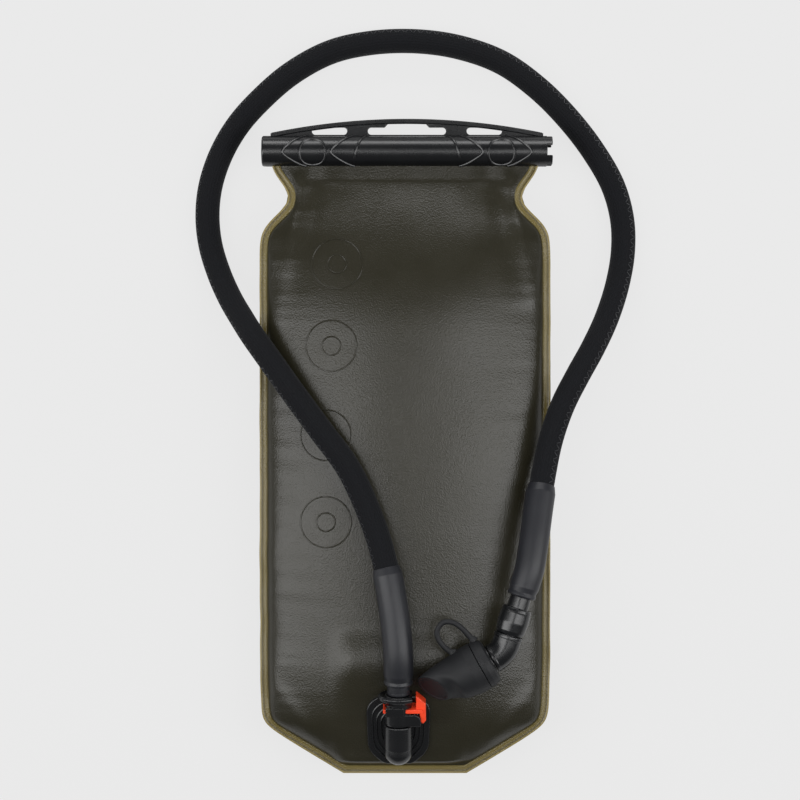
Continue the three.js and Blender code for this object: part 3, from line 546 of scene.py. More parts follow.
def join(pieces: Sequence[Piece], how: Combine = Combine.ADD, sharp: float = 35.0) -> Piece:
    """Combine closed pieces into the first one.

    Args:
        pieces: the first piece and the ones that it takes in or loses.
        how: whether the others are added or cut away.
        sharp: see add_mesh.

    Returns:
        The first piece, as one closed mesh.
    """
    first, *others = pieces
    for other in others:
        cut = first.modifiers.new("cut", "BOOLEAN")
        cut.operation = how.value
        cut.solver = "MANIFOLD"
        cut.object = other
    settle(first, sharp)
    for other in others:
        bpy.data.objects.remove(other)
    return first


# ---- Geometry Nodes ----


class NodeKit:
    """Adds nodes to a tree, whatever the tree is for."""

    def __init__(self, tree: bpy.types.NodeTree) -> None:
        """Keep the tree."""
        self.tree = tree

    def add(
        self, kind: str, inputs: dict[str | int, object] | None = None, **settings: object
    ) -> bpy.types.Node:
        """Add a node.

        Args:
            kind: the node's type name.
            inputs: value, or output socket to link, for each input by its name or number.
            **settings: the node's own properties.

        Returns:
            The new node.
        """
        node = self.tree.nodes.new(kind)
        for key, value in settings.items():
            setattr(node, key, value)
        for key, value in (inputs or {}).items():
            socket = node.inputs[key]
            if isinstance(value, Socket):
                self.tree.links.new(value, socket)
            else:
                socket.default_value = value
        return node


class GeometryTree(NodeKit):
    """A Geometry Nodes tree with named inputs, ending in Realize Instances and Set Material."""

    def __init__(self, name: str, sizes: dict[str, float], finish: bpy.types.Material) -> None:
        """Start a tree.

        Args:
            name: the tree's name.
            sizes: name and default of each size, in metres, radians or counts.
            finish: material of the result.
        """
        tree = bpy.data.node_groups.new(name, "GeometryNodeTree")
        super().__init__(tree)
        tree.interface.new_socket("Geometry", in_out="INPUT", socket_type="NodeSocketGeometry")
        for size, value in sizes.items():
            socket = tree.interface.new_socket(size, in_out="INPUT", socket_type="NodeSocketFloat")
            socket.default_value = value
        tree.interface.new_socket("Geometry", in_out="OUTPUT", socket_type="NodeSocketGeometry")
        self.given = self.add("NodeGroupInput").outputs
        self.finish = finish

    def end(self, geometry: Socket) -> None:
        """Finish the tree with real meshes of the tree's material.

        Args:
            geometry: the last node's geometry.
        """
        real = self.add("GeometryNodeRealizeInstances", {"Geometry": geometry})
        smooth = self.add("GeometryNodeSetShadeSmooth", {"Geometry": real.outputs[0]})
        dressed = self.add(
            "GeometryNodeSetMaterial", {"Geometry": smooth.outputs[0], "Material": self.finish}
        )
        self.add("NodeGroupOutput", {"Geometry": dressed.outputs[0]})

    def run(self, piece: Piece, sizes: dict[str, float]) -> Piece:
        """Run the tree on a piece and keep the result as its plain mesh.

        Args:
            piece: a mesh or curve object.
            sizes: a value for each named input.

        Returns:
            The plain mesh.
        """
        modifier = piece.modifiers.new(self.tree.name, "NODES")
        modifier.node_group = self.tree
        sockets = {s.name: s.identifier for s in self.tree.interface.items_tree}
        for size, value in sizes.items():
            modifier[sockets[size]] = value
        return settle(piece)


def poly_curve(name: str, lines: Sequence[Sequence[Vector]], closed: bool) -> Piece:
    """Make a curve object of straight runs through points in millimetres.

    Args:
        name: the object's name.
        lines: each line's points.
        closed: whether each line ends where it starts.

    Returns:
        The curve object.
    """
    curve = bpy.data.curves.new(name, "CURVE")
    curve.dimensions = "3D"
    for line in lines:
        spline = curve.splines.new("POLY")
        spline.points.add(len(line) - 1)
        for point, place in zip(spline.points, line):
            point.co = (*(Vector(place) * MM), 1)
        spline.use_cyclic_u = closed
    piece = bpy.data.objects.new(name, curve)
    bpy.context.scene.collection.objects.link(piece)
    return piece


def bead_tree(name: str, finish: bpy.types.Material) -> GeometryTree:
    """Return a tree that sweeps a low round bead along a piece's curves.

    Args:
        name: the tree's name.
        finish: what the bead is made of.

    Returns:
        The tree, with the bead's radius as its input.
    """
    tree = GeometryTree(name, {"Bead Radius": 0.0006, "Bead Sides": 10.0}, finish)
    section = tree.add(
        "GeometryNodeCurvePrimitiveCircle", {"Resolution": 10, "Radius": tree.given["Bead Radius"]},
    )
    swept = tree.add(
        "GeometryNodeCurveToMesh",
        {"Curve": tree.given["Geometry"], "Profile Curve": section.outputs[0], "Fill Caps": True},
    )
    tree.end(swept.outputs[0])
    return tree


# ---- Finishes ----


@dataclass(frozen=True)
class Finish:
    """A moulded or drawn material with a fine grain and slight unevenness."""

    name: str
    colour: str
    roughness: float
    ior: float = 1.5
    metallic: float = 0.0
    sheen: float = 0.0
    transmission: float = 0.0
    grain_size: float = 0.6
    grain_depth: float = 0.02
    second_colour: str = ""
    unevenness: float = 0.05

    def material(self) -> bpy.types.Material:
        """Build the material, or return it if it is built already."""
        known = bpy.data.materials.get(self.name)
        if known:
            return known
        material = bpy.data.materials.new(self.name)
        material.use_nodes = True
        material.node_tree.nodes.clear()
        kit = NodeKit(material.node_tree)
        shader = kit.add(
            "ShaderNodeBsdfPrincipled",
            {
                "Base Color": linear(self.colour), "Metallic": self.metallic,
                "Roughness": self.roughness, "Sheen Weight": self.sheen, "Sheen Roughness": 0.4,
                "Transmission Weight": self.transmission,
            },
        )
        if not self.metallic:
            shader.inputs["IOR"].default_value = self.ior
        self.paint(kit, shader)
        kit.add("ShaderNodeOutputMaterial", {"Surface": shader.outputs["BSDF"]})
        return material

    def where(self, kit: NodeKit) -> Socket:
        """Return the coordinates that the finish's pattern follows."""
        return kit.add("ShaderNodeTexCoord").outputs["Object"]

    def pattern(self, kit: NodeKit) -> Socket:
        """Return the height of the finish's fine grain.

        Args:
            kit: adds nodes to the material.

        Returns:
            The height.
        """
        scale = 1 / (self.grain_size * MM)
        fine = kit.add(
            "ShaderNodeTexNoise",
            {"Vector": self.where(kit), "Scale": scale, "Detail": 2.0, "Roughness": 0.6},
        )
        return fine.outputs["Fac"]

    def paint(self, kit: NodeKit, shader: bpy.types.Node) -> None:
        """Add the finish's colour variation, uneven gloss and grain.

        Args:
            kit: adds nodes to the material.
            shader: the node that they feed.
        """
        place = self.where(kit)
        broad = kit.add(
            "ShaderNodeTexNoise", {"Vector": place, "Scale": 60.0, "Detail": 3.0}
        ).outputs["Fac"]
        colour = kit.add(
            "ShaderNodeMix",
            {0: broad, 6: linear(self.colour), 7: linear(self.second_colour or self.colour)},
            data_type="RGBA",
        )
        kit.tree.links.new(colour.outputs[2], shader.inputs["Base Color"])
        gloss = kit.add(
            "ShaderNodeMapRange",
            {
                "Value": broad, "To Min": max(0.02, self.roughness - self.unevenness),
                "To Max": self.roughness + self.unevenness,
            },
        )
        kit.tree.links.new(gloss.outputs[0], shader.inputs["Roughness"])
        bump = kit.add(
            "ShaderNodeBump",
            {"Strength": 0.6, "Distance": self.grain_depth * MM, "Height": self.pattern(kit)},
        )
        kit.tree.links.new(bump.outputs[0], shader.inputs["Normal"])


@dataclass(frozen=True)
class WeldedFilm(Finish):
    """TPU film: calendered with a pebbled grain, paler and tan where two films are welded."""

    weld_colour: str = "#5c522c"
    line_colour: str = "#7c6f44"

    def pattern(self, kit: NodeKit) -> Socket:
        """Return the height of the rolled-in pebbles.

        Args:
            kit: adds nodes to the material.

        Returns:
            The height.
        """
        cells = kit.add(
            "ShaderNodeTexVoronoi",
            {"Vector": self.where(kit), "Scale": 1 / (self.grain_size * MM)}, feature="SMOOTH_F1",
        )
        return cells.outputs["Distance"]

    def paint(self, kit: NodeKit, shader: bpy.types.Node) -> None:
        """Colour the film by how far a point is from the weld's edge.

        Args:
            kit: adds nodes to the material.
            shader: the node that they feed.
        """
        super().paint(kit, shader)
        weld = kit.add("ShaderNodeAttribute", attribute_name="weld").outputs["Fac"]
        film_colour = shader.inputs["Base Color"].links[0].from_socket
        ramp = kit.add("ShaderNodeValToRGB", {"Fac": weld})
        stops = ramp.color_ramp
        stops.elements[0].position = 0.0
        stops.elements[0].color = linear(self.line_colour)
        stops.elements[1].position = 1.0
        stops.elements[1].color = linear(self.weld_colour)
        for position, colour in ((0.16, self.line_colour), (0.3, "#463e22"), (0.62, "#665b35")):
            stops.elements.new(position).color = linear(colour)
        share = kit.add("ShaderNodeMapRange", {"Value": weld, "From Min": 0.97, "From Max": 1.06})
        mixed = kit.add(
            "ShaderNodeMix", {0: share.outputs[0], 6: ramp.outputs["Color"], 7: film_colour},
            data_type="RGBA",
        )
        kit.tree.links.new(mixed.outputs[2], shader.inputs["Base Color"])


@dataclass(frozen=True)
class KnitSleeve(Finish):
    """Neoprene sleeve with a knitted face: matt, near black, with a soft bluish sheen."""

    def where(self, kit: NodeKit) -> Socket:
        """Return coordinates that run round and along the hose, in metres."""
        wrap = kit.add("ShaderNodeUVMap", uv_map="wrap").outputs[0]
        around = 2 * math.pi * 8 * MM
        return kit.add("ShaderNodeVectorMath", {0: wrap, 1: (around, 1, 1)}, operation="MULTIPLY").outputs[0]

    def pattern(self, kit: NodeKit) -> Socket:
        """Return the height of the stitches of the knit, in rows along the hose.

        Args:
            kit: adds nodes to the material.

        Returns:
            The height.
        """
        place = self.where(kit)
        rows = kit.add(
            "ShaderNodeTexWave",
            {"Vector": place, "Scale": 1 / (self.grain_size * MM * 6.3), "Distortion": 1.5},
        )
        cells = kit.add(
            "ShaderNodeTexVoronoi", {"Vector": place, "Scale": 1 / (self.grain_size * MM)}
        )
        both = kit.add(
            "ShaderNodeMath", {0: rows.outputs["Fac"], 1: cells.outputs["Distance"]}, operation="ADD"
        )
        return both.outputs[0]


# TPU film, calendered: olive-grey, satin, with a fine pebble that breaks up its highlights.
FILM = WeldedFilm(
    "tpu_film_calendered", "#211f15", 0.3, ior=1.4, grain_size=0.85, grain_depth=0.2,
    second_colour="#26241a", unevenness=0.03,
)
# Glass-filled nylon, moulded against a polished tool: black with clear highlights.
BLACK_NYLON = Finish(
    "nylon_moulded_black", "#0b0c0e", 0.27, grain_size=0.8, grain_depth=0.01, second_colour="#0f1012"
)
# Acetal, moulded: vivid orange-red, satin.
ORANGE_ACETAL = Finish(
    "acetal_moulded_orange", "#dc3a18", 0.45, ior=1.45, grain_size=0.5, second_colour="#e4431f"
)
# Heat-shrunk rubber sleeve: dark bluish grey, satin, faintly drawn.
GREY_RUBBER = Finish(
    "rubber_shrunk_grey", "#17181c", 0.44, ior=1.42, grain_size=0.5, second_colour="#1b1c21"
)
# Silicone rubber with a matt tool finish: black with a soft broad sheen.
BLACK_RUBBER = Finish(
    "silicone_moulded_black", "#0e0f11", 0.6, ior=1.38, grain_size=0.4, second_colour="#141518",
)
# Neoprene with a knitted nylon face: near black and matt, with a bluish sheen.
SLEEVE_KNIT = KnitSleeve(
    "neoprene_knitted_black", "#08090c", 0.9, ior=1.3, sheen=0.04, grain_size=0.9, grain_depth=0.25,
    second_colour="#0c0d11",
)
# Polyester sewing thread: black, slightly shiny along its twist.
THREAD = Finish("polyester_thread_black", "#16171b", 0.5, grain_size=0.3, second_colour="#1c1d22")
# TPU drink tube: extruded, clear with a blue-grey tint.
CLEAR_TUBE = Finish(
    "tpu_tube_clear", "#8fa0ad", 0.15, ior=1.5, transmission=0.7, second_colour="#9aa9b5"
)
# Spring wire: drawn stainless steel.
SPRING_STEEL = Finish("stainless_wire_drawn", "#b9bdc4", 0.28, metallic=1.0, second_colour="#a9adb3")
# Nitrile seals: moulded, black and matt.
SEAL_RUBBER = Finish("nitrile_moulded_black", "#1c1c1c", 0.6, second_colour="#222222")
# Silicone mouthpiece: moulded, milky grey.
CLEAR_SILICONE = Finish(
    "silicone_moulded_grey", "#8b9097", 0.35, ior=1.42, transmission=0.25, second_colour="#949aa1"
)


def dress(
    piece: Piece, finish: Finish, body: str, stands_for: Sequence[str] = (),
) -> Piece:
    """Give a finished piece its material and body.

    Args:
        piece: the piece.
        finish: what it is made of.
        body: the body that it moves with.
        stands_for: frame nodes that it replaces.

    Returns:
        The same piece.
    """
    weigh(piece)
    piece.data.materials.clear()
    piece.data.materials.append(finish.material())
    if stands_for:
        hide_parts(*stands_for)
    if body:
        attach(piece, body)
    LOG.info("%s: %d faces", piece.name, len(piece.data.polygons))
    return piece


# ---- Bag ----


@dataclass
class Bag:
    """Two welded films held at their filled shape."""

    ring_radii: tuple[float, float] = (16.4, 6.0)
    width: float = 190.0
    length: float = 406.0
    bottom_width: float = 81.2
    corner_rise: float = 32.0
    corner_softness: float = 6.0
    weld: float = 5.0
    film: float = 0.8
    seam_z: float = 31.0
    front_rise: float = 24.0
    neck_pinch: float = 14.0
    neck_below: float = 32.0
    neck_spread: float = 15.0
    bottom_round: float = 70.0
    back_round: float = 50.0
    top_taper: float = 102.0
    neck_flat: float = 9.0
    mouth_width: float = 177.0
    bar_radius: float = 10.0
    rod_radius: float = 3.75
    bottom_y: float = -213.4
    port_x: float = -4.3
    port_from_bottom: float = 38.7
    port_z: float = 51.0
    port_pitch: float = 13.0
    flange_width: float = 42.0
    flange_length: float = 45.8
    flange_centre: float = -7.3
    columns: int = 150
    rows: int = 290
    inner_share: int = 5

    @property
    def film_end(self) -> float:
        """Length of the films, up to the rod."""
        return self.length - self.rod_radius - GAP

    def half_width(self, up: float) -> float:
        """Return half the bag's width at a distance up from the bottom weld edge.

        Args:
            up: millimetres from the edge.

        Returns:
            The half width.
        """
        slope = (self.width - self.bottom_width) / 2 / self.corner_rise
        corner = slope * soft_ramp(self.corner_rise - up, self.corner_softness)
        neck = self.length - self.neck_below
        pinch = self.neck_pinch * math.exp(-(((up - neck) / self.neck_spread) ** 2))
        mouth = smoothstep(up, neck - 24, neck + 16)
        return lerp(self.width / 2, self.mouth_width / 2, mouth) - corner - pinch

    def inner_half_width(self, up: float) -> float:
        """Return half the width inside the welds."""
        slope = self.half_width(up + 1) - self.half_width(up - 1)
        return self.half_width(up) - self.weld * math.hypot(1, slope / 2)

    def fullness(self, up: float, round_length: float, low_power: float, top_power: float) -> float:
        """Return how full the bag is along its length, from 0 at the welds to 1.

        Args:
            up: millimetres from the bottom edge.
            round_length: how far the ends reach in.
            low_power: how blunt the low end is.
            top_power: how blunt the top end is.

        Returns:
            The share.
        """
        low = min(1.0, max(0.0, (up - self.weld) / round_length))
        rising = (1 - (1 - low) ** low_power) ** (1 / low_power)
        start = self.length - self.bar_radius - self.neck_flat - self.top_taper
        high = min(1.0, max(0.0, (up - start) / self.top_taper))
        return rising * (1 - high**top_power) ** 1.2

    def front_bulge(self, x: float, up: float, half: float) -> float:
        """Return the height of the front film over the weld plane.

        Args:
            x: place across.
            up: millimetres from the bottom edge.
            half: half the width there.

        Returns:
            The height.
        """
        across = min(1.0, abs(x) / half)
        full = self.fullness(up, self.bottom_round, 2, 2.2)
        free = self.front_rise * full * (1 - across**2.4) ** (1 / 1.8)
        height = self.port_z - self.seam_z - self.film - GAP / 2
        pad = height + (up - self.port_from_bottom) * math.tan(math.radians(self.port_pitch))
        edge = self.flange_width / 2
        beside = 1 - smoothstep(abs(x - self.port_x), edge + 8, edge + 26)
        flange_top = self.port_from_bottom + self.flange_centre + self.flange_length / 2
        above = 1 - smoothstep(up, flange_top + 7, flange_top + 45)
        foot = smoothstep(up, self.weld, self.weld + 4.5)
        inside = 1.0 if across < 1 else 0.0
        return lerp(free, pad, beside * above * inside) * foot

    def back_bulge(self, x: float, up: float, half: float) -> float:
        """Return the depth of the back film under the weld plane."""
        across = min(1.0, abs(x) / half)
        full = 1.08 * self.fullness(up, self.back_round, 2.6, 3) * (1 - across**3) ** (1 / 2.4)
        return (self.seam_z - self.film - GAP / 2) * min(1.0, full)

    def point(self, side: int, across: float, up: float) -> Vector:
        """Return a point on a film's smooth outer face: side is 1 in front and -1 behind."""
        x = self.half_width(up) * math.sin(across * math.pi / 2)
        half = self.inner_half_width(up)
        bulge = self.front_bulge(x, up, half) if side > 0 else self.back_bulge(x, up, half)
        return Vector((x, self.bottom_y + up, self.seam_z + side * (GAP / 2 + self.film + bulge)))

    def on_front(self, x: float, y: float, lift: float = 0.0) -> Vector:
        """Return the point of the front film at a place in plan, lifted off it."""
        up = y - self.bottom_y
        bulge = self.front_bulge(x, up, self.inner_half_width(up))
        return Vector((x, y, self.seam_z + GAP / 2 + self.film + bulge + lift))

    def from_edge(self, x: float, up: float) -> float:
        """Return the distance to the weld's outer edge."""
        slope = (self.half_width(up + 1) - self.half_width(up - 1)) / 2
        sideways = (self.half_width(up) - abs(x)) / math.hypot(1, slope)
        return min(sideways, up)

    def creases(self, side: int, x: float, up: float) -> float:
        """Return how far the film's own folds and puckers lift a point.

        Args:
            side: 1 in front and -1 behind.
            x: place across.
            up: millimetres from the bottom edge.

        Returns:
            The lift.
        """
        edge = self.from_edge(x, up)
        inside = smoothstep(edge, self.weld * 0.9, self.weld + 5)
        near_weld = inside * math.exp(-max(0.0, edge - self.weld) / 16)
        seed = 7.3 if side > 0 else 31.7
        pucker = noise.noise(Vector((math.copysign(seed, x), up / 13, 0.0)))
        pucker += 0.6 * noise.noise(Vector((seed + x / 60, up / 6.5, 3.0)))
        wave = noise.noise(Vector((x / 55, up / 80, seed)))
        lift = 0.75 * pucker * near_weld + 1.0 * wave * inside
        for run, height in ((0.75, 0.9), (1.5, -0.5)):
            line = self.bottom_width / 2 + run * up
            across = (abs(x) - line) / 7
            fade = smoothstep(up, 8, 30) * (1 - smoothstep(up, 45, 95))
            lift += height * fade * inside * math.exp(-across * across)
        neck = self.length - self.neck_below
        gather = math.exp(-(((up - neck) / 34) ** 2)) * inside
        fold = noise.noise(Vector((x / 11, up / 60, seed + 5)))
        lift += 0.45 * fold * gather
        for centre, lean, reach, depth in self.folds(side):
            line = centre + lean * (up - neck)
            across = (x - line) / 5.5
            along = smoothstep(up, neck - reach, neck - 8) * (1 - smoothstep(up, neck + 4, neck + 26))
            lift += depth * along * math.exp(-across * across)
        return lift

    def folds(self, side: int) -> Sequence[tuple[float, float, float, float]]:
        """Return the folds below the bar: place, lean, reach down and height of each."""
        if side < 0:
            return ((-60, 0.1, 70, 1.0), (52, -0.12, 80, 1.0))
        return (
            (-70, 0.16, 95, 1.5), (-60, 0.1, 70, -1.0), (-47, 0.05, 52, 0.7), (71, -0.2, 100, 1.5),
            (62, -0.12, 75, -0.9), (50, -0.06, 60, 0.8),
        )

    def edge_wave(self, x: float, up: float) -> Vector:
        """Return how far the weld's edge wanders from its flat outline.

        Args:
            x: place across.
            up: millimetres from the bottom edge.

        Returns:
            The shift.
        """
        edge = self.from_edge(x, up)
        share = 1 - smoothstep(edge, 0, self.weld * 4)
        side = math.copysign(1.0, x)
        calm = smoothstep(up, 4, 40) * (1 - smoothstep(up, self.film_end - 40, self.film_end - 14))
        sideways = 0.5 * noise.noise(Vector((side * 9, up / 22, 1.0)))
        rise = 0.9 * noise.noise(Vector((side * 4, up / 26, 8.0)))
        return Vector((side * sideways, 0, rise)) * share * calm

    def bead(self, x: float, up: float) -> float:
        """Return the height of the weld's pressed lines."""
        edge = self.from_edge(x, up)
        rim = 0.32 * math.exp(-(((edge - 0.7) / 0.6) ** 2))
        line = 0.28 * math.exp(-(((edge - self.weld + 0.9) / 0.55) ** 2))
        return rim + line

    def sheet(self, name: str, side: int) -> Piece:
        """Build one film as a closed shell, fine outside and coarser inside.

        Args:
            name: the piece's name.
            side: 1 for the front film and -1 for the back.

        Returns:
            The film, with a weld attribute: 0 at the outer edge and 1 at the weld's inner edge.
        """
        columns, rows, share = self.columns, self.rows, self.inner_share
        width = columns + 1
        points: list[Vector] = []
        weld: list[float] = []
        for row in range(rows + 1):
            along = row / rows
            up = self.film_end * lerp(along, (1 - math.cos(math.pi * along)) / 2, 0.35)
            for column in range(width):
                across = 2 * column / columns - 1
                across = math.copysign(abs(across) ** 0.92, across)
                point = self.point(side, across, up)
                edge = self.from_edge(point.x, up)
                lift = self.creases(side, point.x, up) + self.bead(point.x, up)
                point.z += side * lift
                point += self.edge_wave(point.x, up)
                point.z = max(point.z, 0.0)
                points.append(point)
                weld.append(edge / self.weld)
        outer = len(points)

        def normal(row: int, column: int) -> Vector:
            """Return the outward normal at a point of the grid."""
            left = points[row * width + max(0, column - 1)]
            right = points[row * width + min(columns, column + 1)]
            low = points[max(0, row - 1) * width + column]
            high = points[min(rows, row + 1) * width + column]
            return (right - left).cross(high - low).normalized() * side

        inner_width = columns // share + 1
        for row in range(0, rows + 1, share):
            for column in range(0, width, share):
                i = row * width + column
                points.append(points[i] - normal(row, column) * self.film)
                weld.append(weld[i])
        faces: list[list[int]] = []
        for row in range(rows):
            for column in range(columns):
                a = row * width + column
                faces.append([a, a + 1, a + width + 1, a + width])
        for row in range(rows // share):
            for column in range(columns // share):
                a = outer + row * inner_width + column
                faces.append([a, a + inner_width, a + inner_width + 1, a + 1])
        last = rows // share * inner_width
        for column in range(columns // share):
            near = outer + column
            fine = list(range(column * share, (column + 1) * share + 1))
            faces.append([near, near + 1, *reversed(fine)])
            fine = [rows * width + k for k in fine]
            faces.append([near + last + 1, near + last, *fine])
        for row in range(rows // share):
            near = outer + row * inner_width
            fine = [(row * share + k) * width for k in range(share + 1)]
            faces.append([near + inner_width, near, *fine])
            near += inner_width - 1
            fine = [k + columns for k in fine]
            faces.append([near, near + inner_width, *reversed(fine)])
        if side < 0:
            faces = [list(reversed(face)) for face in faces]
        piece = add_mesh(name, points, faces, 60)
        layer = piece.data.attributes.new("weld", "FLOAT", "POINT")
        layer.data.foreach_set("value", weld)
        return piece

    def emblem_lines(self, centre: Point2) -> list[list[Vector]]:
        """Return the two plain rings of an embossed emblem, laid on the front film.

        Args:
            centre: the emblem's place in plan.

        Returns:
            Closed lines of points.
        """
        lines = [ellipse((0, 0), (radius, radius), 72) for radius in self.ring_radii]
        laid = []
        for line in lines:
            dense: list[Point2] = []
            for (x0, y0), (x1, y1) in zip(line, [*line[1:], line[0]]):
                count = max(1, round(math.hypot(x1 - x0, y1 - y0) / 1.2))
                dense += [(lerp(x0, x1, k / count), lerp(y0, y1, k / count)) for k in range(count)]
            laid.append([self.emboss_point(centre[0] + x, centre[1] + y) for x, y in dense])
        return laid

    def emboss_point(self, x: float, y: float) -> Vector:
        """Return a point of an embossed line, half sunk in the creased front film."""
        up = y - self.bottom_y
        return self.on_front(x, y, self.creases(1, x, up) - 0.12)

    def build(self) -> list[Piece]:
        """Build and dress the two films and the embossed emblems."""
        front = dress(self.sheet("film_front", 1), FILM, "bag", ["front_panel"])
        back = dress(self.sheet("film_back", -1), FILM, "bag", ["back_panel"])
        tree = bead_tree("embossed_line", FILM.material())
        places = ((-44.0, 118.0), (-47.5, 65.0), (-51.0, 7.5), (-51.0, -48.5))
        pieces = [front, back]
        for number, centre in enumerate(places, 1):
            lines = poly_curve(f"emblem_{number}", self.emblem_lines(centre), True)
            emblem = tree.run(lines, {"Bead Radius": 0.55 * MM})
            weld = emblem.data.attributes.new("weld", "FLOAT", "POINT")
            weld.data.foreach_set("value", [9.0] * len(emblem.data.vertices))
            pieces.append(dress(emblem, FILM, "bag"))
        return pieces


# ---- Closure ----


@dataclass
class Closure:
    """Rod and rolled mouth, and the slide bar that clamps them."""

    y: float = 192.6
    z: float = 31.0
    bar_length: float = 189.6
    bar_shift: float = 1.2
    bar_radius: float = 10.0
    bar_wall: float = 2.4
    bar_end_wall: float = 3.0
    prong_length: float = 3.5
    prong_low: float = 4.2
    prong_high: float = 9.2
    slot: float = 3.4
    rod_radius: float = 3.75
    rod_length: float = 179.0
    flap_wall: float = 1.0
    grip_top: float = 20.8
    grip_end: float = 11.6
    grip_length: float = 178.0
    grip_thickness: float = 3.2
    rim_height: float = 1.45
    slot_floor: float = 10.6
    slot_height: float = 4.8
    centre_slot: float = 51.0
    arch_length: float = 26.0
    arch_height: float = 7.6
    side_slot: float = 23.0
    side_slot_place: float = 50.5
    rib_radius: float = 0.95
    rib_shift: float = -1.9
    chevron_places: tuple[float, float] = (82.0, 50.5)
    ring_place: float = 61.4
    ring_radius: float = 8.7
    arc_places: tuple[float, float] = (25.5, 34.0)

    @property
    def middle(self) -> Matrix:
        """Frame on the closure's axis: +X along the bar, +Y away from the bag."""
        return Matrix.Translation((0, self.y, self.z))

    @property
    def bar(self) -> Matrix:
        """Frame of the slide bar, which stands a little to the right."""
        return self.middle @ Matrix.Translation((self.bar_shift, 0, 0))

    @staticmethod
    def along(frame: Matrix) -> Matrix:
        """Return a frame's turn whose +Y runs along the bar, for turned pieces."""
        return frame @ Matrix.Rotation(-math.pi / 2, 4, "Z")

    def channel(self) -> Piece:
        """Build the C-shaped tube, its slot towards the bag."""
        outer, inner = self.bar_radius, self.bar_radius - self.bar_wall
        half = self.slot / 2
        section: list[Point2] = []
        steps = 72
        for radius, order in ((outer, 1), (inner, -1)):
            gap = math.asin(half / radius)
            angles = [math.pi + gap + (2 * math.pi - 2 * gap) * i / steps for i in range(steps + 1)]
            section += [(radius * math.cos(a), radius * math.sin(a)) for a in angles[::order]]
        turn = Matrix(((0, 0, 1, 0), (1, 0, 0, 0), (0, 1, 0, 0), (0, 0, 0, 1)))
        half_length = self.bar_length / 2
        return plate(
            "bar_body", section, [], -half_length + 1, half_length - self.prong_length, 0.35,
            self.bar @ turn,
        )

    def end_wall(self) -> Piece:
        """Build the domed wall at the closed end."""
        end = -self.bar_length / 2
        profile = rounded(
            [(0, end - 0.4, 0), (self.bar_radius, end + 0.2, 1.6),
             (self.bar_radius, end + self.bar_end_wall, 0.2), (0, end + self.bar_end_wall, 0)]
        )
        return turned("bar_end", profile, Axis(self.along(self.bar)), 72)

    def prong(self, name: str, sign: int, face: int) -> Piece:
        """Build one lug at the open end.

        Args:
            name: the piece's name.
            sign: 1 on the side away from the bag, -1 towards it.
            face: 1 in front, -1 behind.

        Returns:
            The lug.
        """
        outer, inner = self.bar_radius, self.bar_radius - self.bar_wall
        steps = 18
        low = math.asin(self.prong_low / outer)
        high = math.asin(self.prong_high / outer)
        angles = [lerp(low, high, i / steps) for i in range(steps + 1)]
        section = [(sign * outer * math.sin(a), face * outer * math.cos(a)) for a in angles]
        section += [(sign * inner * math.sin(a), face * inner * math.cos(a)) for a in angles[::-1]]
        turn = Matrix(((0, 0, 1, 0), (1, 0, 0, 0), (0, 1, 0, 0), (0, 0, 0, 1)))
        end = self.bar_length / 2
        return plate(name, section, [], end - self.prong_length - 2, end, 0.5, self.bar @ turn)

    def grip_rise(self, x: float) -> float:
        """Return the height of the grip plate's top edge over the axis."""
        return lerp(self.grip_top, self.grip_end, (2 * x / self.grip_length) ** 2)

    def grip(self) -> Piece:
        """Build the arched grip plate with its three slots."""
        half = self.grip_length / 2
        foot = self.bar_radius - self.bar_wall / 2
        steps = 48
        top = [(lerp(half, -half, i / steps), 0.6) for i in range(steps + 1)]
        corners = [(-half, foot, 0.0), (half, foot, 0.0)]
        corners += [(x, self.grip_rise(x), radius) for x, radius in top]
        side = [
            slot_outline(sign * self.side_slot_place, self.slot_floor, self.side_slot, self.slot_height)
            for sign in (-1, 1)
        ]
        low, high = self.slot_floor, self.slot_floor + self.arch_height
        shoulder = self.slot_floor + self.slot_height
        reach, arch = self.centre_slot / 2, self.arch_length / 2
        centre = rounded(
            [
                (reach, low, 2.3), (reach, shoulder, 2.3), (arch + 1.5, shoulder, 1.5),
                (arch - 1.0, high, 2.0), (1.0 - arch, high, 2.0), (-arch - 1.5, shoulder, 1.5),
                (-reach, shoulder, 2.3), (-reach, low, 2.3),
            ],
            6,
        )
        thick = self.grip_thickness / 2
        return plate(
            "bar_grip", [c[:2] for c in corners], [*side, centre], -thick, thick, 0.4, self.bar
        )

    def rim(self) -> Piece:
        """Build the chamfered rim that follows the grip plate's top edge, in front of it."""
        half = self.grip_length / 2 - 1.0
        points = []
        for i in range(97):
            x = lerp(-half, half, i / 96)
            points.append(self.bar @ Vector((x, self.grip_rise(x) - 1.5, self.rim_height)))
        axis = PathAxis(points)
        profile = [(0, 0), (1.7, 0), (1.7, axis.length), (0, axis.length)]
        return turned("bar_rim", profile, axis, 6, 3.0, squash=0.45, sharp=20)

    def wrap(self, x: float, across: float) -> Vector:
        """Return the point of the bar's surface at a length and an arc distance from its front."""
        angle = (across + self.rib_shift) / self.bar_radius
        radius = self.bar_radius - 0.1
        return self.bar @ Vector((x, radius * math.sin(angle), radius * math.cos(angle)))

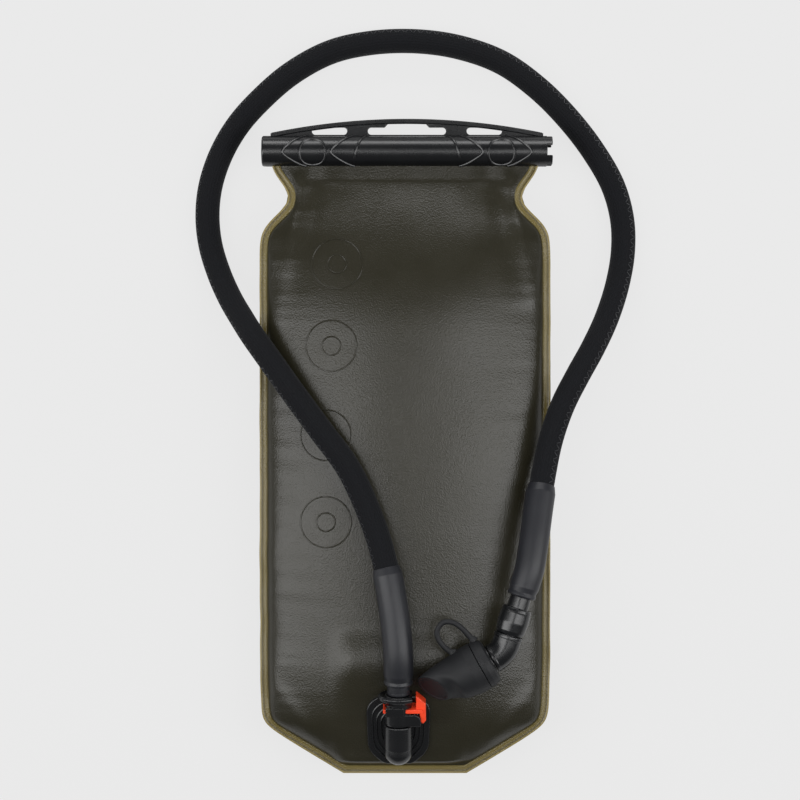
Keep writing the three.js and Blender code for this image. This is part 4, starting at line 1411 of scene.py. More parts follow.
    def rib_lines(self) -> list[list[Vector]]:
        """Return the raised ribs of the bar's front: chevrons, rings and arcs, mirrored."""
        lines: list[list[Vector]] = []
        for sign in (-1, 1):
            for place in self.chevron_places:
                upper = Vector((place - 17.5, 16.0))
                lower = Vector((place - 16, -12.0))
                tip = Vector((place + 0.6, 0.6))
                bend_in, bend_out = tip.lerp(upper, 0.2), tip.lerp(lower, 0.2)
                nose = [bend_in.lerp(tip, t).lerp(tip.lerp(bend_out, t), t) for t in NOSE_STEPS]
                lines.append(self.dense([(sign * x, a) for x, a in (upper, *nose, lower)]))
            near, far = self.arc_places
            bow = [(lerp(near, far, math.sin(t * math.pi / 2)), lerp(16, -3.5, t)) for t in NOSE_STEPS]
            lines.append(self.dense([(sign * x, a) for x, a in bow]))
            ring = ellipse((sign * self.ring_place, 0), (self.ring_radius, self.ring_radius * 1.15), 48)
            lines.append([self.wrap(x, a) for x, a in [*ring, ring[0]]])
        return lines

    def dense(self, corners: Sequence[Point2]) -> list[Vector]:
        """Return closely spaced surface points along a line of corners.

        Args:
            corners: the line's corners on the bar.

        Returns:
            The points.
        """
        result = []
        for (x0, a0), (x1, a1) in zip(corners, corners[1:]):
            count = max(1, math.ceil(math.hypot(x1 - x0, a1 - a0) / 1.4))
            result += [
                self.wrap(lerp(x0, x1, k / count), lerp(a0, a1, k / count)) for k in range(count)
            ]
        return [*result, self.wrap(*corners[-1])]

    def flap(self) -> Piece:
        """Build the mouth film, rolled round the rod and open towards the bag."""
        inner = self.rod_radius + GAP
        outer = inner + self.flap_wall
        opening = math.asin(1.25 / inner)
        steps = 40
        rows = 90
        points: list[Vector] = []
        for row in range(rows + 1):
            x = lerp(-self.rod_length / 2, self.rod_length / 2, row / rows)
            for radius, order in ((outer, 1), (inner, -1)):
                for i in range(steps + 1)[::order]:
                    angle = math.pi + opening + (2 * math.pi - 2 * opening) * i / steps
                    ripple = 0.14 * noise.noise(Vector((x / 9, angle, 2.0)))
                    ring = radius + ripple
                    spoke = Vector((x, ring * math.cos(angle), ring * math.sin(angle)))
                    points.append(self.middle @ spoke)
        count = 2 * (steps + 1)
        faces = []
        for row in range(rows):
            for i in range(count):
                a, b = row * count + i, row * count + (i + 1) % count
                faces.append([a, b, b + count, a + count])
        faces.append(list(range(count)))
        faces.append([rows * count + i for i in range(count)][::-1])
        piece = add_mesh("rolled_mouth", points, faces)
        tidy(piece, 1e-7, 50)
        weld = piece.data.attributes.new("weld", "FLOAT", "POINT")
        weld.data.foreach_set("value", [9.0] * len(piece.data.vertices))
        return piece

    def rod(self) -> Piece:
        """Build the stiff rod in the fold."""
        half = self.rod_length / 2
        profile = rounded(
            [(0, -half, 0), (self.rod_radius, -half, 0.8), (self.rod_radius, half, 0.8), (0, half, 0)]
        )
        return turned("mouth_rod", profile, Axis(self.along(self.middle)), 40)

    def build(self) -> None:
        """Build and dress the closure."""
        lugs = [self.prong(f"lug_{s}_{f}", s, f) for s in (-1, 1) for f in (-1, 1)]
        bar = join([self.channel(), self.end_wall(), *lugs, self.grip(), self.rim()])
        dress(bar, BLACK_NYLON, "slider", ["slide_bar"])
        tree = bead_tree("raised_rib", BLACK_NYLON.material())
        ribs = tree.run(
            poly_curve("bar_ribs", self.rib_lines(), False), {"Bead Radius": self.rib_radius * MM}
        )
        dress(ribs, BLACK_NYLON, "slider")
        dress(self.rod(), BLACK_NYLON, "bag", ["closure_rod"])
        dress(self.flap(), FILM, "bag", ["mouth_flap"])


# ---- Hose port ----


@dataclass
class Port:
    """Flange, barrel, quick-release coupling, orange button and hose plug."""

    x: float = -4.3
    y: float = -174.7
    z: float = 51.0
    pitch: float = 13.0
    flange_width: float = 42.0
    flange_length: float = 45.8
    flange_centre: float = -7.3
    flange_thickness: float = 3.0
    axis_height: float = 11.0
    barrel_radius: float = 9.2
    barrel_reach: float = 18.0
    barrel_bore: float = 6.0
    socket_tail: float = 11.5
    seat_bore: float = 2.6
    seat: tuple[float, float] = (1.5, 3.0)
    chamber_radius: float = 4.9
    chamber_low: float = -10.0
    socket_radius: float = 8.6
    socket_length: float = 20.4
    socket_bore: float = 5.5
    collar_half_width: float = 13.2
    collar_half_height: float = 10.2
    collar_cut: float = 8.75
    latch_low: float = 9.6
    latch_thickness: float = 2.6
    latch_left: float = 8.2
    plug_radius: float = 5.2
    plug_nose: float = 5.6
    stub_radius: float = 7.15
    stub_start: float = 20.7
    stub_end: float = 27.1
    rib_insets: tuple[float, float, float] = (3.6, 6.4, 9.4)

    @property
    def base(self) -> Matrix:
        """Frame of the port: +Y along the hose axis, +Z away from the film."""
        return Matrix.Translation((self.x, self.y, self.z)) @ Matrix.Rotation(
            math.radians(self.pitch), 4, "X"
        )

    @property
    def axis(self) -> Matrix:
        """Frame on the hose axis at the joint face."""
        return self.base @ Matrix.Translation((0, 0, self.axis_height))

    def outline(self, inset: float = 0.0) -> list[Point2]:
        """Return the flange's shield-shaped outline, drawn in by an inset in millimetres.

        Args:
            inset: how far it is drawn in.

        Returns:
            The outline.
        """
        half = self.flange_width / 2 - inset
        low = self.flange_centre - self.flange_length / 2 + inset
        high = self.flange_centre + self.flange_length / 2 - inset
        return rounded(
            [
                (-half * 0.45, low, 8), (half * 0.45, low, 8), (half * 0.93, low + 9, 14),
                (half, high, 11), (-half, high, 11), (-half * 0.93, low + 9, 14),
            ],
            8,
        )

    def housing(self) -> Piece:
        """Build the flange, the barrel with its domed end and the saddle between them."""
        flange = plate(
            "port_body", self.outline(), [], GAP, GAP + self.flange_thickness, 0.8, self.base
        )
        reach, radius = self.barrel_reach, self.barrel_radius
        arc = [
            (radius * math.cos(a), -reach - radius * math.sin(a))
            for a in (math.pi / 2 * i / 14 for i in range(15))
        ]
        step = -reach + 2.0
        corners = [
            (0, 0, 0), (radius, 0, 0.7), (radius, step + 0.5, 0.2), (radius - 0.45, step, 0.2),
            *((r, along, 0) for r, along in arc[1:-1]), (0, -reach - radius, 0),
        ]
        barrel = turned("barrel", rounded(corners), Axis(self.axis))
        saddle = plate(
            "saddle", rounded([(-7.5, -reach - 3, 3), (7.5, -reach - 3, 3), (7.5, 0, 0.6), (-7.5, 0, 0.6)]),
            [], GAP, self.axis_height, 0.4, self.base,
        )
        trough = turned(
            "trough",
            [(0, 0.0), (self.socket_radius + GAP, 0.0), (self.socket_radius + GAP, 50), (0, 50)],
            Axis(self.axis),
        )
        bore = turned(
            "barrel_bore",
            [(0, -self.barrel_reach), (self.barrel_bore, -self.barrel_reach), (self.barrel_bore, 1), (0, 1)],
            Axis(self.axis), 48,
        )
        body = join([flange, barrel, saddle])
        return join([body, trough, bore], Combine.CUT)

    def flange_ribs(self) -> list[list[Vector]]:
        """Return the concentric raised lines on the flange."""
        top = GAP + self.flange_thickness
        return [[self.base @ Vector((x, y, top)) for x, y in self.outline(i)] for i in self.rib_insets]

    def coupling(self) -> Piece:
        """Build the socket, its flared finger collar and the box that guides the button."""
        bore, radius, length = self.socket_bore, self.socket_radius, self.socket_length
        seat_low, seat_high = self.seat
        tail = self.barrel_bore - GAP
        body = turned(
            "coupling_body",
            rounded(
                [
                    (self.seat_bore, -self.socket_tail, 0.2), (tail, -self.socket_tail, 0.4),
                    (tail, GAP, 0.1), (radius - 0.3, GAP, 0.7), (radius, 1.9, 0.4),
                    (radius, length, 0.6), (bore, length, 0.6), (bore, seat_high, 0.1),
                    (self.seat_bore, seat_high, 0.1), (self.seat_bore, seat_low, 0.1),
                    (self.chamber_radius, seat_low, 0.1), (self.chamber_radius, self.chamber_low, 0.1),
                    (self.seat_bore, self.chamber_low, 0.1),
                ],
                4,
            ),
            Axis(self.axis), 72,
        )
        wide = self.collar_half_width
        flare = turned(
            "collar",
            rounded(
                [
                    (bore + 1, 11.0, 0), (radius - 0.6, 11.0, 0.2), (radius + 0.3, 13.8, 3.0),
                    (wide - 1.6, 16.0, 1.6), (wide, 17.6, 1.2), (wide, 19.2, 0.9),
                    (wide - 1.2, length, 0.5), (radius, length - 0.8, 1.0), (bore + 1, length - 0.8, 0),
                ],
                5,
            ),
            Axis(self.axis), 96, squash=self.collar_half_height / wide,
        )
        outline = rounded([(2.0, 1.0, 0.5), (14.4, 1.0, 0.8), (13.8, 8.7, 4.5), (2.0, 8.7, 0.5)], 6)
        roof = plate("roof", outline, [], 5.75, 7.4, 0.5, self.axis)
        sole = plate("sole", outline, [], -6.6, -5.2, 0.5, self.axis)
        cut = plate(
            "side_cut", [(self.collar_cut, -4), (30, -4), (30, 26), (self.collar_cut, 26)],
            [], -16, 16, 0.0, self.axis,
        )
        low, high = self.latch_low - GAP, self.latch_low + self.latch_thickness + GAP
        window = plate(
            "window", [(-30, low), (30, low), (30, high), (-30, high)], [], -7.5, 7.3, 0.0, self.axis
        )
        hood = plate(
            "hood",
            rounded([(-8.2, low - 1.4, 0.8), (3.4, low - 1.4, 0.8),
                     (3.4, high + 1.4, 0.8), (-8.2, high + 1.4, 0.8)]),
            [], 7.35, 8.9, 0.5, self.axis,
        )
        bore_cut = turned("bore_cut", [(0, 4), (bore, 4), (bore, 30), (0, 30)], Axis(self.axis))
        flare = join([flare, cut], Combine.CUT)
        body = join([body, flare, roof, sole])
        chamber = turned(
            "chamber_cut",
            [(0, self.chamber_low + 0.1), (self.chamber_radius, self.chamber_low + 0.1),
             (self.chamber_radius, seat_low - 0.1), (self.seat_bore, seat_low - 0.1),
             (self.seat_bore, 4.1), (0, 4.1)],
            Axis(self.axis), 48,
        )
        body = join([body, window, bore_cut, chamber], Combine.CUT)
        return join([body, hood])

    def button(self) -> Piece:
        """Build the orange latch: a plate across the socket and a winged finger pad."""
        latch_high = self.latch_low + self.latch_thickness
        latch_end = -self.latch_left - 1.6
        arm = plate(
            "release_latch",
            rounded([(latch_end, self.latch_low, 0.5), (15.5, self.latch_low, 0.3),
                     (15.5, latch_high, 0.3), (latch_end, latch_high, 0.5)]),
            [], -7.0, 7.0, 0.35, self.axis,
        )
        hole = turned(
            "latch_hole",
            [(0, 8), (self.plug_radius + 1.2, 8), (self.plug_radius + 1.2, 14), (0, 14)],
            Axis(self.axis @ Matrix.Translation((0.9, 0, 0))), 40,
        )
        pad = plate(
            "pad",
            rounded(
                [
                    (11.1, 21.2, 0.5), (17.4, 15.8, 1.2), (17.6, 4.4, 1.0), (15.6, 2.2, 0.8),
                    (14.2, 3.2, 0.8), (13.4, 9.7, 1.0), (11.1, 9.7, 0.4), (11.1, 15.0, 0.6),
                ],
                5,
            ),
            [], -4.8, 5.45, 0.6, self.axis,
        )
        latch = join([arm, hole], Combine.CUT)
        return join([latch, pad])

    def plug(self) -> Piece:
        """Build the hose plug: nose, grooves, stub and barb, bored through."""
        latch_high = self.latch_low + self.latch_thickness
        root = self.plug_radius - 1.1
        bore = 2.0
        barb = 2.9
        start, end = self.stub_start, self.stub_end
        profile = [
            (bore, self.plug_nose, 0.4), (self.plug_radius, self.plug_nose, 0.8),
            (self.plug_radius, self.latch_low - GAP, 0.2), (root, self.latch_low - GAP, 0.2),
            (root, latch_high + GAP, 0.2), (self.plug_radius, latch_high + GAP, 0.2),
            (self.plug_radius, 14.9, 0.2), (root, 14.9, 0.2), (root, 16.1, 0.2),
            (self.plug_radius, 16.1, 0.2), (self.plug_radius, start, 0.2),
            (self.stub_radius + 0.2, start, 0.5), (self.stub_radius + 0.2, start + 1.6, 0.3),
            (self.stub_radius, start + 1.9, 0.2), (self.stub_radius, end, 0.5),
            (barb, end, 0.2), (barb, end + 4.6, 0.2), (barb - 0.4, end + 5.0, 0.2),
            (barb, end + 10.0, 0.2), (barb - 0.4, end + 10.4, 0.2), (barb - 0.4, end + 16, 0.3),
            (bore, end + 16, 0.2),
        ]
        return turned("hose_plug", rounded(profile, 3), Axis(self.axis), 48)

    def build(self) -> None:
        """Build and dress the port and its coupling."""
        dress(self.housing(), BLACK_NYLON, "bag", ["port_housing"])
        tree = bead_tree("flange_rib", BLACK_NYLON.material())
        ribs = tree.run(poly_curve("port_ribs", self.flange_ribs(), True), {"Bead Radius": 0.7 * MM})
        dress(ribs, BLACK_NYLON, "bag")
        dress(self.coupling(), BLACK_NYLON, "bag", ["coupling_socket"])
        dress(self.button(), ORANGE_ACETAL, "button", ["release_button"])
        self.plug_piece = dress(self.plug(), GREY_RUBBER, "hose", ["tube_plug"])


# ---- Hose ----


@dataclass
class Hose:
    """Drink tube in a knitted sleeve, with a rubber cuff at each end."""

    port: Port
    elbow: Vector
    inlet_heading: float
    connector_end: float = 37.2
    barb_length: float = 16.0
    tube_radius: float = 4.75
    tube_bore: float = 3.2
    sleeve_radius: float = 8.0
    sleeve_bore: float = 5.1
    cuff_radius: float = 9.5
    lower_cuff: float = 75.0
    upper_cuff: float = 73.0
    stitch_pitch: float = 2.6
    # Over the bag, off its left edge, round the bar on the floor and back over the right edge.
    route: Sequence[tuple[float, float, float]] = (
        (-6, -113, 71.6), (-9, -93, 69.8), (-13, -73, 67.6), (-21, -47, 65.8), (-36, -14, 64.2),
        (-55, 12, 61.4), (-73.5, 37, 56.6), (-88, 57, 49.6), (-99, 72, 41), (-107, 84, 31.5),
        (-115, 97, 22), (-123, 114, 13.5), (-129, 133, 9), (-131, 152, 8.5), (-129, 172, 8.5),
        (-122, 193, 8.5), (-111, 212, 8.5), (-96, 229, 8.5), (-75, 247, 8.5), (-49, 261, 8.5),
        (-22, 267, 8.5), (8, 268, 8.5), (36, 264, 8.5), (64, 254, 8.5), (88, 237, 8.5),
        (108, 217, 8.5), (125, 195, 8.5), (138, 172, 8.5), (144, 150, 8.5), (144.5, 129, 9.5),
        (140.5, 107, 14), (132.5, 84, 23), (122.5, 64, 33), (112, 46, 41), (102, 27, 46),
        (94, 5, 50.5), (89, -17, 55.5), (85, -40, 62), (82, -60, 67.5),
    )

    def swivel_point(self, distance: float) -> Vector:
        """Return a point on the swivel's axis, from the elbow towards the hose."""
        heading = Vector((math.cos(self.inlet_heading), math.sin(self.inlet_heading), 0))
        return self.elbow + heading * distance

    def path(self) -> PathAxis:
        """Return the hose's axis: a smooth curve, straight at the plug and at the swivel."""
        barb = self.barb_length / 2 + GAP
        start = self.port.stub_end + GAP
        points = [self.port.axis @ Vector((0, start + k * barb, 0)) for k in range(3)]
        points += [Vector(p) for p in self.route]
        points += [self.swivel_point(self.connector_end + GAP + k * barb) for k in (2, 1, 0)]
        first = points[0] * 2 - points[1]
        last = points[-1] * 2 - points[-2]
        return PathAxis(centripetal([first, *points, last], 14))

    def cuff(self, name: str, path: PathAxis, start: float, end: float, bead: float) -> Piece:
        """Build a rubber cuff with a bead at its fitting end and a tapered lip at the other.

        Args:
            name: the piece's name.
            path: the hose's axis.
            start: where the cuff begins.
            end: where it ends.
            bead: 1 where the fitting is at the start, -1 where it is at the end.

        Returns:
            The cuff.
        """
        inner, outer = self.sleeve_radius + 0.05, self.cuff_radius
        near, far, sign = (start, end, 1) if bead > 0 else (end, start, -1)
        profile = rounded(
            [
                (inner, near, 0.2), (outer - 0.7, near, 0.5), (outer - 0.15, near + sign * 1.2, 0.8),
                (outer - 0.75, near + sign * 3.2, 0.8), (outer, near + sign * 6.5, 2.5),
                (outer + 0.05, far - sign * 5, 2.0), (inner + 0.45, far, 0.3), (inner, far, 0.1),
            ],
            4,
        )
        return turned(name, profile, path, 56, 4.0, sharp=50)

    def sleeve(self, path: PathAxis) -> Piece:
        """Build the knitted sleeve as a smooth tube.

        Args:
            path: the hose's middle line.

        Returns:
            The sleeve.
        """
        inner, outer = self.sleeve_bore, self.sleeve_radius
        profile = rounded(
            [(inner, 0, 0), (outer, 0, 0.4), (outer, path.length, 0.4), (inner, path.length, 0)]
        )
        piece = turned("hose_sleeve", profile, path, 48, 3.0, sharp=60)
        return piece

    def seam(self, path: PathAxis) -> list[list[Vector]]:
        """Return the line of the sleeve's sewn seam on its surface.

        Args:
            path: the hose's middle line.

        Returns:
            The seam's points, as one line.
        """
        line = []
        start, end = self.lower_cuff + 2, path.length - self.upper_cuff - 2
        count = round((end - start) / 2.0)
        for k in range(count + 1):
            along = lerp(start, end, k / count)
            share = smoothstep(along, 250, 750)
            angle = math.radians(lerp(148, 128, share))
            radius = self.sleeve_radius + 0.02
            spoke = Vector((radius * math.cos(angle), 0, radius * math.sin(angle)))
            line.append(path.frame(along) @ spoke)
        return [line]

    def stitch_tree(self, sleeve: Piece) -> GeometryTree:
        """Return a tree that sews a zigzag of thread along a piece's curves.

        Args:
            sleeve: the surface that the stitches lie on.

        Returns:
            The tree.
        """
        tree = GeometryTree(
            "zigzag_seam",
            {"Stitch Pitch": 0.0026, "Stitch Length": 0.0034, "Thread Radius": 0.0003, "Lean": 1.0},
            THREAD.material(),
        )
        spaced = tree.add(
            "GeometryNodeCurveToPoints",
            {"Curve": tree.given["Geometry"], "Length": tree.given["Stitch Pitch"]}, mode="LENGTH",
        )
        cloth = tree.add("GeometryNodeObjectInfo", {"Object": sleeve})
        facing = tree.add("GeometryNodeInputNormal")
        outward = tree.add(
            "GeometryNodeSampleNearestSurface",
            {"Mesh": cloth.outputs["Geometry"], "Value": facing.outputs["Normal"]},
            data_type="FLOAT_VECTOR",
        )
        onward = tree.add(
            "FunctionNodeAlignRotationToVector", {"Vector": spaced.outputs["Tangent"]}, axis="Z"
        )
        upright = tree.add(
            "FunctionNodeAlignRotationToVector",
            {"Rotation": onward.outputs[0], "Vector": outward.outputs[0]}, axis="X", pivot_axis="Z",
        )
        index = tree.add("GeometryNodeInputIndex")
        odd = tree.add("ShaderNodeMath", {0: index.outputs[0], 1: 2.0}, operation="MODULO")
        sign = tree.add(
            "ShaderNodeMath", {0: odd.outputs[0], 1: 2.0, 2: -1.0}, operation="MULTIPLY_ADD"
        )
        lean = tree.add(
            "ShaderNodeMath", {0: sign.outputs[0], 1: tree.given["Lean"]}, operation="MULTIPLY"
        )
        turn = tree.add("ShaderNodeCombineXYZ", {"X": lean.outputs[0]})
        leaning = tree.add(
            "FunctionNodeRotateRotation",
            {"Rotation": upright.outputs[0], "Rotate By": turn.outputs[0]}, rotation_space="LOCAL",
        )
        section = tree.add(
            "GeometryNodeCurvePrimitiveCircle",
            {"Resolution": 6, "Radius": tree.given["Thread Radius"]},
        )
        half = tree.add(
            "ShaderNodeMath", {0: tree.given["Stitch Length"], 1: 0.5}, operation="MULTIPLY"
        )
        back = tree.add("ShaderNodeMath", {0: half.outputs[0], 1: -1.0}, operation="MULTIPLY")
        low = tree.add("ShaderNodeCombineXYZ", {"Z": back.outputs[0]})
        high = tree.add("ShaderNodeCombineXYZ", {"Z": half.outputs[0]})
        bar = tree.add(
            "GeometryNodeCurvePrimitiveLine", {"Start": low.outputs[0], "End": high.outputs[0]}
        )
        thread = tree.add(
            "GeometryNodeCurveToMesh",
            {"Curve": bar.outputs[0], "Profile Curve": section.outputs[0], "Fill Caps": True},
        )
        sewn = tree.add(
            "GeometryNodeInstanceOnPoints",
            {"Points": spaced.outputs[0], "Instance": thread.outputs[0], "Rotation": leaning.outputs[0]},
        )
        tree.end(sewn.outputs[0])
        return tree

    def build(self, path: PathAxis) -> tuple[Piece, list[Piece]]:
        """Build the hose.

        Args:
            path: the hose's axis.

        Returns:
            The sleeve and the pieces on it.
        """
        sleeve = dress(self.sleeve(path), SLEEVE_KNIT, "hose", ["insulation_sleeve"])
        tube = turned(
            "drink_tube_inner",
            [(self.tube_bore, 0), (self.tube_radius, 0),
             (self.tube_radius, path.length), (self.tube_bore, path.length)],
            path, 24, 5.0,
        )
        dress(tube, CLEAR_TUBE, "hose", ["drink_tube"])
        lower = self.cuff("cuff_lower", path, -0.2, self.lower_cuff, 1)
        upper = self.cuff("cuff_upper", path, path.length - self.upper_cuff, path.length + 0.2, -1)
        dress(lower, GREY_RUBBER, "hose", ["lower_cuff"])
        dress(upper, GREY_RUBBER, "hose", ["upper_cuff"])
        stitches = self.stitch_tree(sleeve).run(
            poly_curve("hose_stitches", self.seam(path), False),
            {"Stitch Pitch": self.stitch_pitch * MM},
        )
        dress(stitches, THREAD, "hose")
        return sleeve, [tube, lower, upper, stitches]


def centripetal(points: Sequence[Vector], steps: int) -> list[Vector]:
    """Return a centripetal Catmull-Rom curve, which leaves out the first and last point.

    Args:
        points: the control points, with one extra at each end.
        steps: points in each span.

    Returns:
        The curve's points.
    """
    result: list[Vector] = []
    for p0, p1, p2, p3 in zip(points, points[1:], points[2:], points[3:]):
        d0, d1, d2 = ((b - a).length ** 0.5 for a, b in ((p0, p1), (p1, p2), (p2, p3)))
        t1 = ((p1 - p0) / d0 - (p2 - p0) / (d0 + d1) + (p2 - p1) / d1) * d1
        t2 = ((p2 - p1) / d1 - (p3 - p1) / (d1 + d2) + (p3 - p2) / d2) * d1
        for k in range(steps):
            t = k / steps
            curve = (
                p1
                + t1 * t
                + (p2 * 3 - p1 * 3 - t1 * 2 - t2) * t**2
                + (p1 * 2 - p2 * 2 + t1 + t2) * t**3
            )
            result.append(curve)
    result.append(points[-2].copy())
    return result


# ---- Swivel and valve ----


@dataclass
class Valve:
    """Swivel connector, elbow, collar, tether and dust cap over the bite valve."""

    elbow: Vector = field(default_factory=lambda: Vector((62.4, -130.3, 71.0)))
    inlet_heading: float = math.radians(72.5)
    valve_heading: float = math.radians(209)
    elbow_radius: float = 9.4
    elbow_face: float = 12.0
    connector_radius: float = 10.0
    connector_start: float = 12.3
    barrel_end: float = 29.7
    connector_end: float = 37.2
    stub_radius: float = 7.0
    nose_radius: float = 6.7
    valve_start: float = 8.5
    ring_start: float = 9.2
    ring_length: float = 7.6
    ring_bore: float = 9.9
    cap_start: float = 17.1
    cap_radius: float = 16.0
    cap_wall: float = 1.4
    pad_radius: float = 11.4
    pad_along: float = 50.2
    pad_shift: tuple[float, float, float] = (1.8, 0.0, 1.6)
    pad_turn: float = 26.0
    pad_lift: float = 32.0
    bite_radius: float = 6.0
    tether_radius: float = 1.7
    tether_reach: float = 36.0

    def frame(self, heading: float) -> Matrix:
        """Return the frame at the elbow's centre whose +Y has a heading."""
        return Matrix.Translation(self.elbow) @ Matrix.Rotation(heading - math.pi / 2, 4, "Z")

    @property
    def inlet(self) -> Axis:
        """Axis of the swivel, towards the hose."""
        return Axis(self.frame(self.inlet_heading))

    @property
    def outlet(self) -> Axis:
        """Axis of the valve, towards the mouthpiece."""
        return Axis(self.frame(self.valve_heading))

    def connector(self) -> Piece:
        """Build the barrel that the elbow turns in, slightly bulged, with its stub and barb."""
        radius, start, end = self.connector_radius, self.connector_start, self.barrel_end
        stub, last = self.stub_radius, self.connector_end
        profile = [
            (self.nose_radius, start, 0.3), (radius - 1.4, start, 0.9), (radius - 0.5, start + 2.4, 1.5),
            (radius, start + 8, 9.0), (radius - 0.35, end - 3.4, 1.5), (radius - 0.35, end - 2.9, 0.1),
            (radius - 0.75, end - 2.6, 0.2), (radius - 0.35, end - 2.2, 0.3), (radius - 0.9, end, 0.7),
            (stub, end + 0.2, 0.3), (stub - 0.3, last, 0.3), (2.9, last, 0.2), (2.9, last + 5, 0.2),
            (2.5, last + 5.3, 0.2), (2.9, last + 10, 0.2), (2.5, last + 10.3, 0.2),
            (2.5, last + 16, 0.3), (2.0, last + 16, 0.2), (2.0, 24.3, 0.1),
            (self.nose_radius, 24.3, 0.2),
        ]
        return turned("swivel_barrel", rounded(profile, 4), self.inlet, 56)

    def elbow_piece(self) -> Piece:
        """Build the elbow: a swept bend with a chamfered face, and the nose that turns."""
        radius = self.elbow_radius
        inlet, outlet = self.inlet.place, self.outlet.place
        reach = 6.2
        start = inlet @ Vector((0, self.elbow_face, 0))
        end = outlet @ Vector((0, self.valve_start - GAP, 0))
        bend_in = inlet @ Vector((0, reach, 0))
        bend_out = outlet @ Vector((0, reach, 0))
        points = [start]
        for k in range(13):
            t = k / 12
            points.append(bend_in.lerp(self.elbow, t).lerp(self.elbow.lerp(bend_out, t), t))
        points.append(end)
        path = PathAxis(points)
        last = path.length
        shell = turned(
            "elbow",
            rounded(
                [(0, 0, 0), (radius, 0, 0.8), (radius, 2.2, 0.2), (radius - 0.3, 2.6, 0.2),
                 (radius - 0.3, last - 2.4, 0.3), (radius, last - 1.9, 0.3),
                 (radius, last, 0.6), (0, last, 0)],
                4,
            ),
            path, 56, 0.8, sharp=40,
        )
        nose = turned(
            "nose",
            rounded([(0, 10, 0), (6.4, 10, 0), (6.4, 17.4, 0.1), (5.35, 17.4, 0.1), (5.35, 18.6, 0.1),
                     (6.4, 18.6, 0.1), (6.4, 24, 0.5), (0, 24, 0)]),
            self.inlet, 48,
        )
        shell = join([shell, nose])
        ball = [(4 * math.sin(k * math.pi / 10), -4 * math.cos(k * math.pi / 10)) for k in range(1, 10)]
        bores = [
            turned("bore_in", [(0, 0), (4, 0), (4, 40), (0, 40)], self.inlet, 32),
            turned("bore_out", [(0, 0), (4, 0), (4, 12), (0, 12)], self.outlet, 32),
            turned("bore_mid", [(0, -4), *ball, (0, 4)], self.outlet, 32),
        ]
        for bore in bores:
            shell = join([shell, bore], Combine.CUT)
        return shell

    def body_piece(self) -> Piece:
        """Build the twist valve's body: collar groove, flange and nose."""
        collar_end = self.ring_start + self.ring_length + GAP
        nose = collar_end + 1.8
        profile = [
            (4.0, self.valve_start, 0.2), (9.6, self.valve_start, 0.5), (9.6, collar_end, 0.2),
            (11.6, collar_end, 0.3), (11.6, nose, 0.5), (4.2, nose, 0.2), (4.2, 26, 0.3),
            (2.4, 26, 0.2), (2.4, 20.3, 0.1), (4.0, 20.3, 0.1),
        ]
        return turned("valve_barrel", rounded(profile, 3), self.outlet, 56)

    def mouthpiece(self) -> Piece:
        """Build the silicone mouthpiece with a slit in its domed end."""
        radius, inner = self.bite_radius, self.bite_radius - 1.5
        profile = [
            (inner, 19.2, 0.2), (radius, 19.2, 0.4), (radius - 0.5, 24, 2.0), (radius, 27, 2.0),
            (radius, 32, 3.2), (0, 32, 0), (0, 30.5, 0), (inner, 30.5, 1.6),
        ]
        shell = turned("bite_valve", rounded(profile, 5), self.outlet, 48)
        slit = plate(
            "slit", [(-3.4, 28), (3.4, 28), (3.4, 34), (-3.4, 34)], [], -0.3, 0.3, 0.0, self.outlet.place
        )
        return join([shell, slit], Combine.CUT)

    def collar(self) -> Piece:
        """Build the rubber collar, coned towards the elbow, with the tether's root."""
        low, high = self.ring_start, self.ring_start + self.ring_length
        profile = [
            (self.ring_bore, low, 0.3), (self.cap_radius - 3.4, low, 1.0),
            (self.cap_radius - 1.6, low + 1.0, 0.8), (self.cap_radius - 0.2, low + 4.4, 1.6),
            (self.cap_radius, high, 0.6), (self.ring_bore, high, 0.3),
        ]
        return turned("cap_collar", rounded(profile, 5), self.outlet, 72)

    def cap(self) -> Piece:
        """Build the dust cap: a tapered cup that ends in an oblique round finger pad."""
        start, wall = self.cap_start, self.cap_wall
        radius, tip, end = self.cap_radius, self.pad_radius, self.pad_along
        profile = [
            (0, end - wall - 1.2, 0), (tip - wall - 1.5, end - wall - 1.2, 2.0),
            (tip - wall + 1.0, end - 8, 5.0), (radius - wall - 0.2, start + 9, 9.0),
            (radius - wall, start, 0.3), (radius, start, 0.5), (radius + 0.1, start + 6, 6.0),
            (radius - 1.8, start + 19, 10.0), (tip + 1.2, end - 5, 7.0), (tip, end, 1.2),
            (tip - 1.5, end + 0.1, 0.5), (tip - 2.1, end - 0.7, 0.4), (0, end - 0.5, 0),
        ]
        axis = ObliqueAxis(
            self.outlet.place, start + 14, end - 1, Vector(self.pad_shift),
            Matrix.Rotation(math.radians(self.pad_turn), 4, "Z")
            @ Matrix.Rotation(math.radians(self.pad_lift), 4, "X"),
        )
        return turned("dust_cup", rounded(profile, 6), axis, 96, 1.2, sharp=50)

    def tether_path(self) -> PathAxis:
        """Return the loop of the tether, from the collar to the cap."""
        reach = self.tether_reach
        start = self.cap_radius - 0.8
        local = [
            (start, 12.6, 0.0), (start + 3.2, 13.6, 0.6), (reach - 11, 15.2, 1.4), (reach - 4, 18.4, 1.8),
            (reach - 0.6, 24.0, 1.8), (reach - 3.4, 30.2, 1.4), (reach - 9, 32.0, 0.9),
            (start + 4.2, 30.4, 0.4), (start - 0.8, 27.6, 0.0),
        ]
        points = [self.outlet.place @ Vector(p) for p in local]
        first, last = points[0] * 2 - points[1], points[-1] * 2 - points[-2]
        return PathAxis(centripetal([first, *points, last], 10))

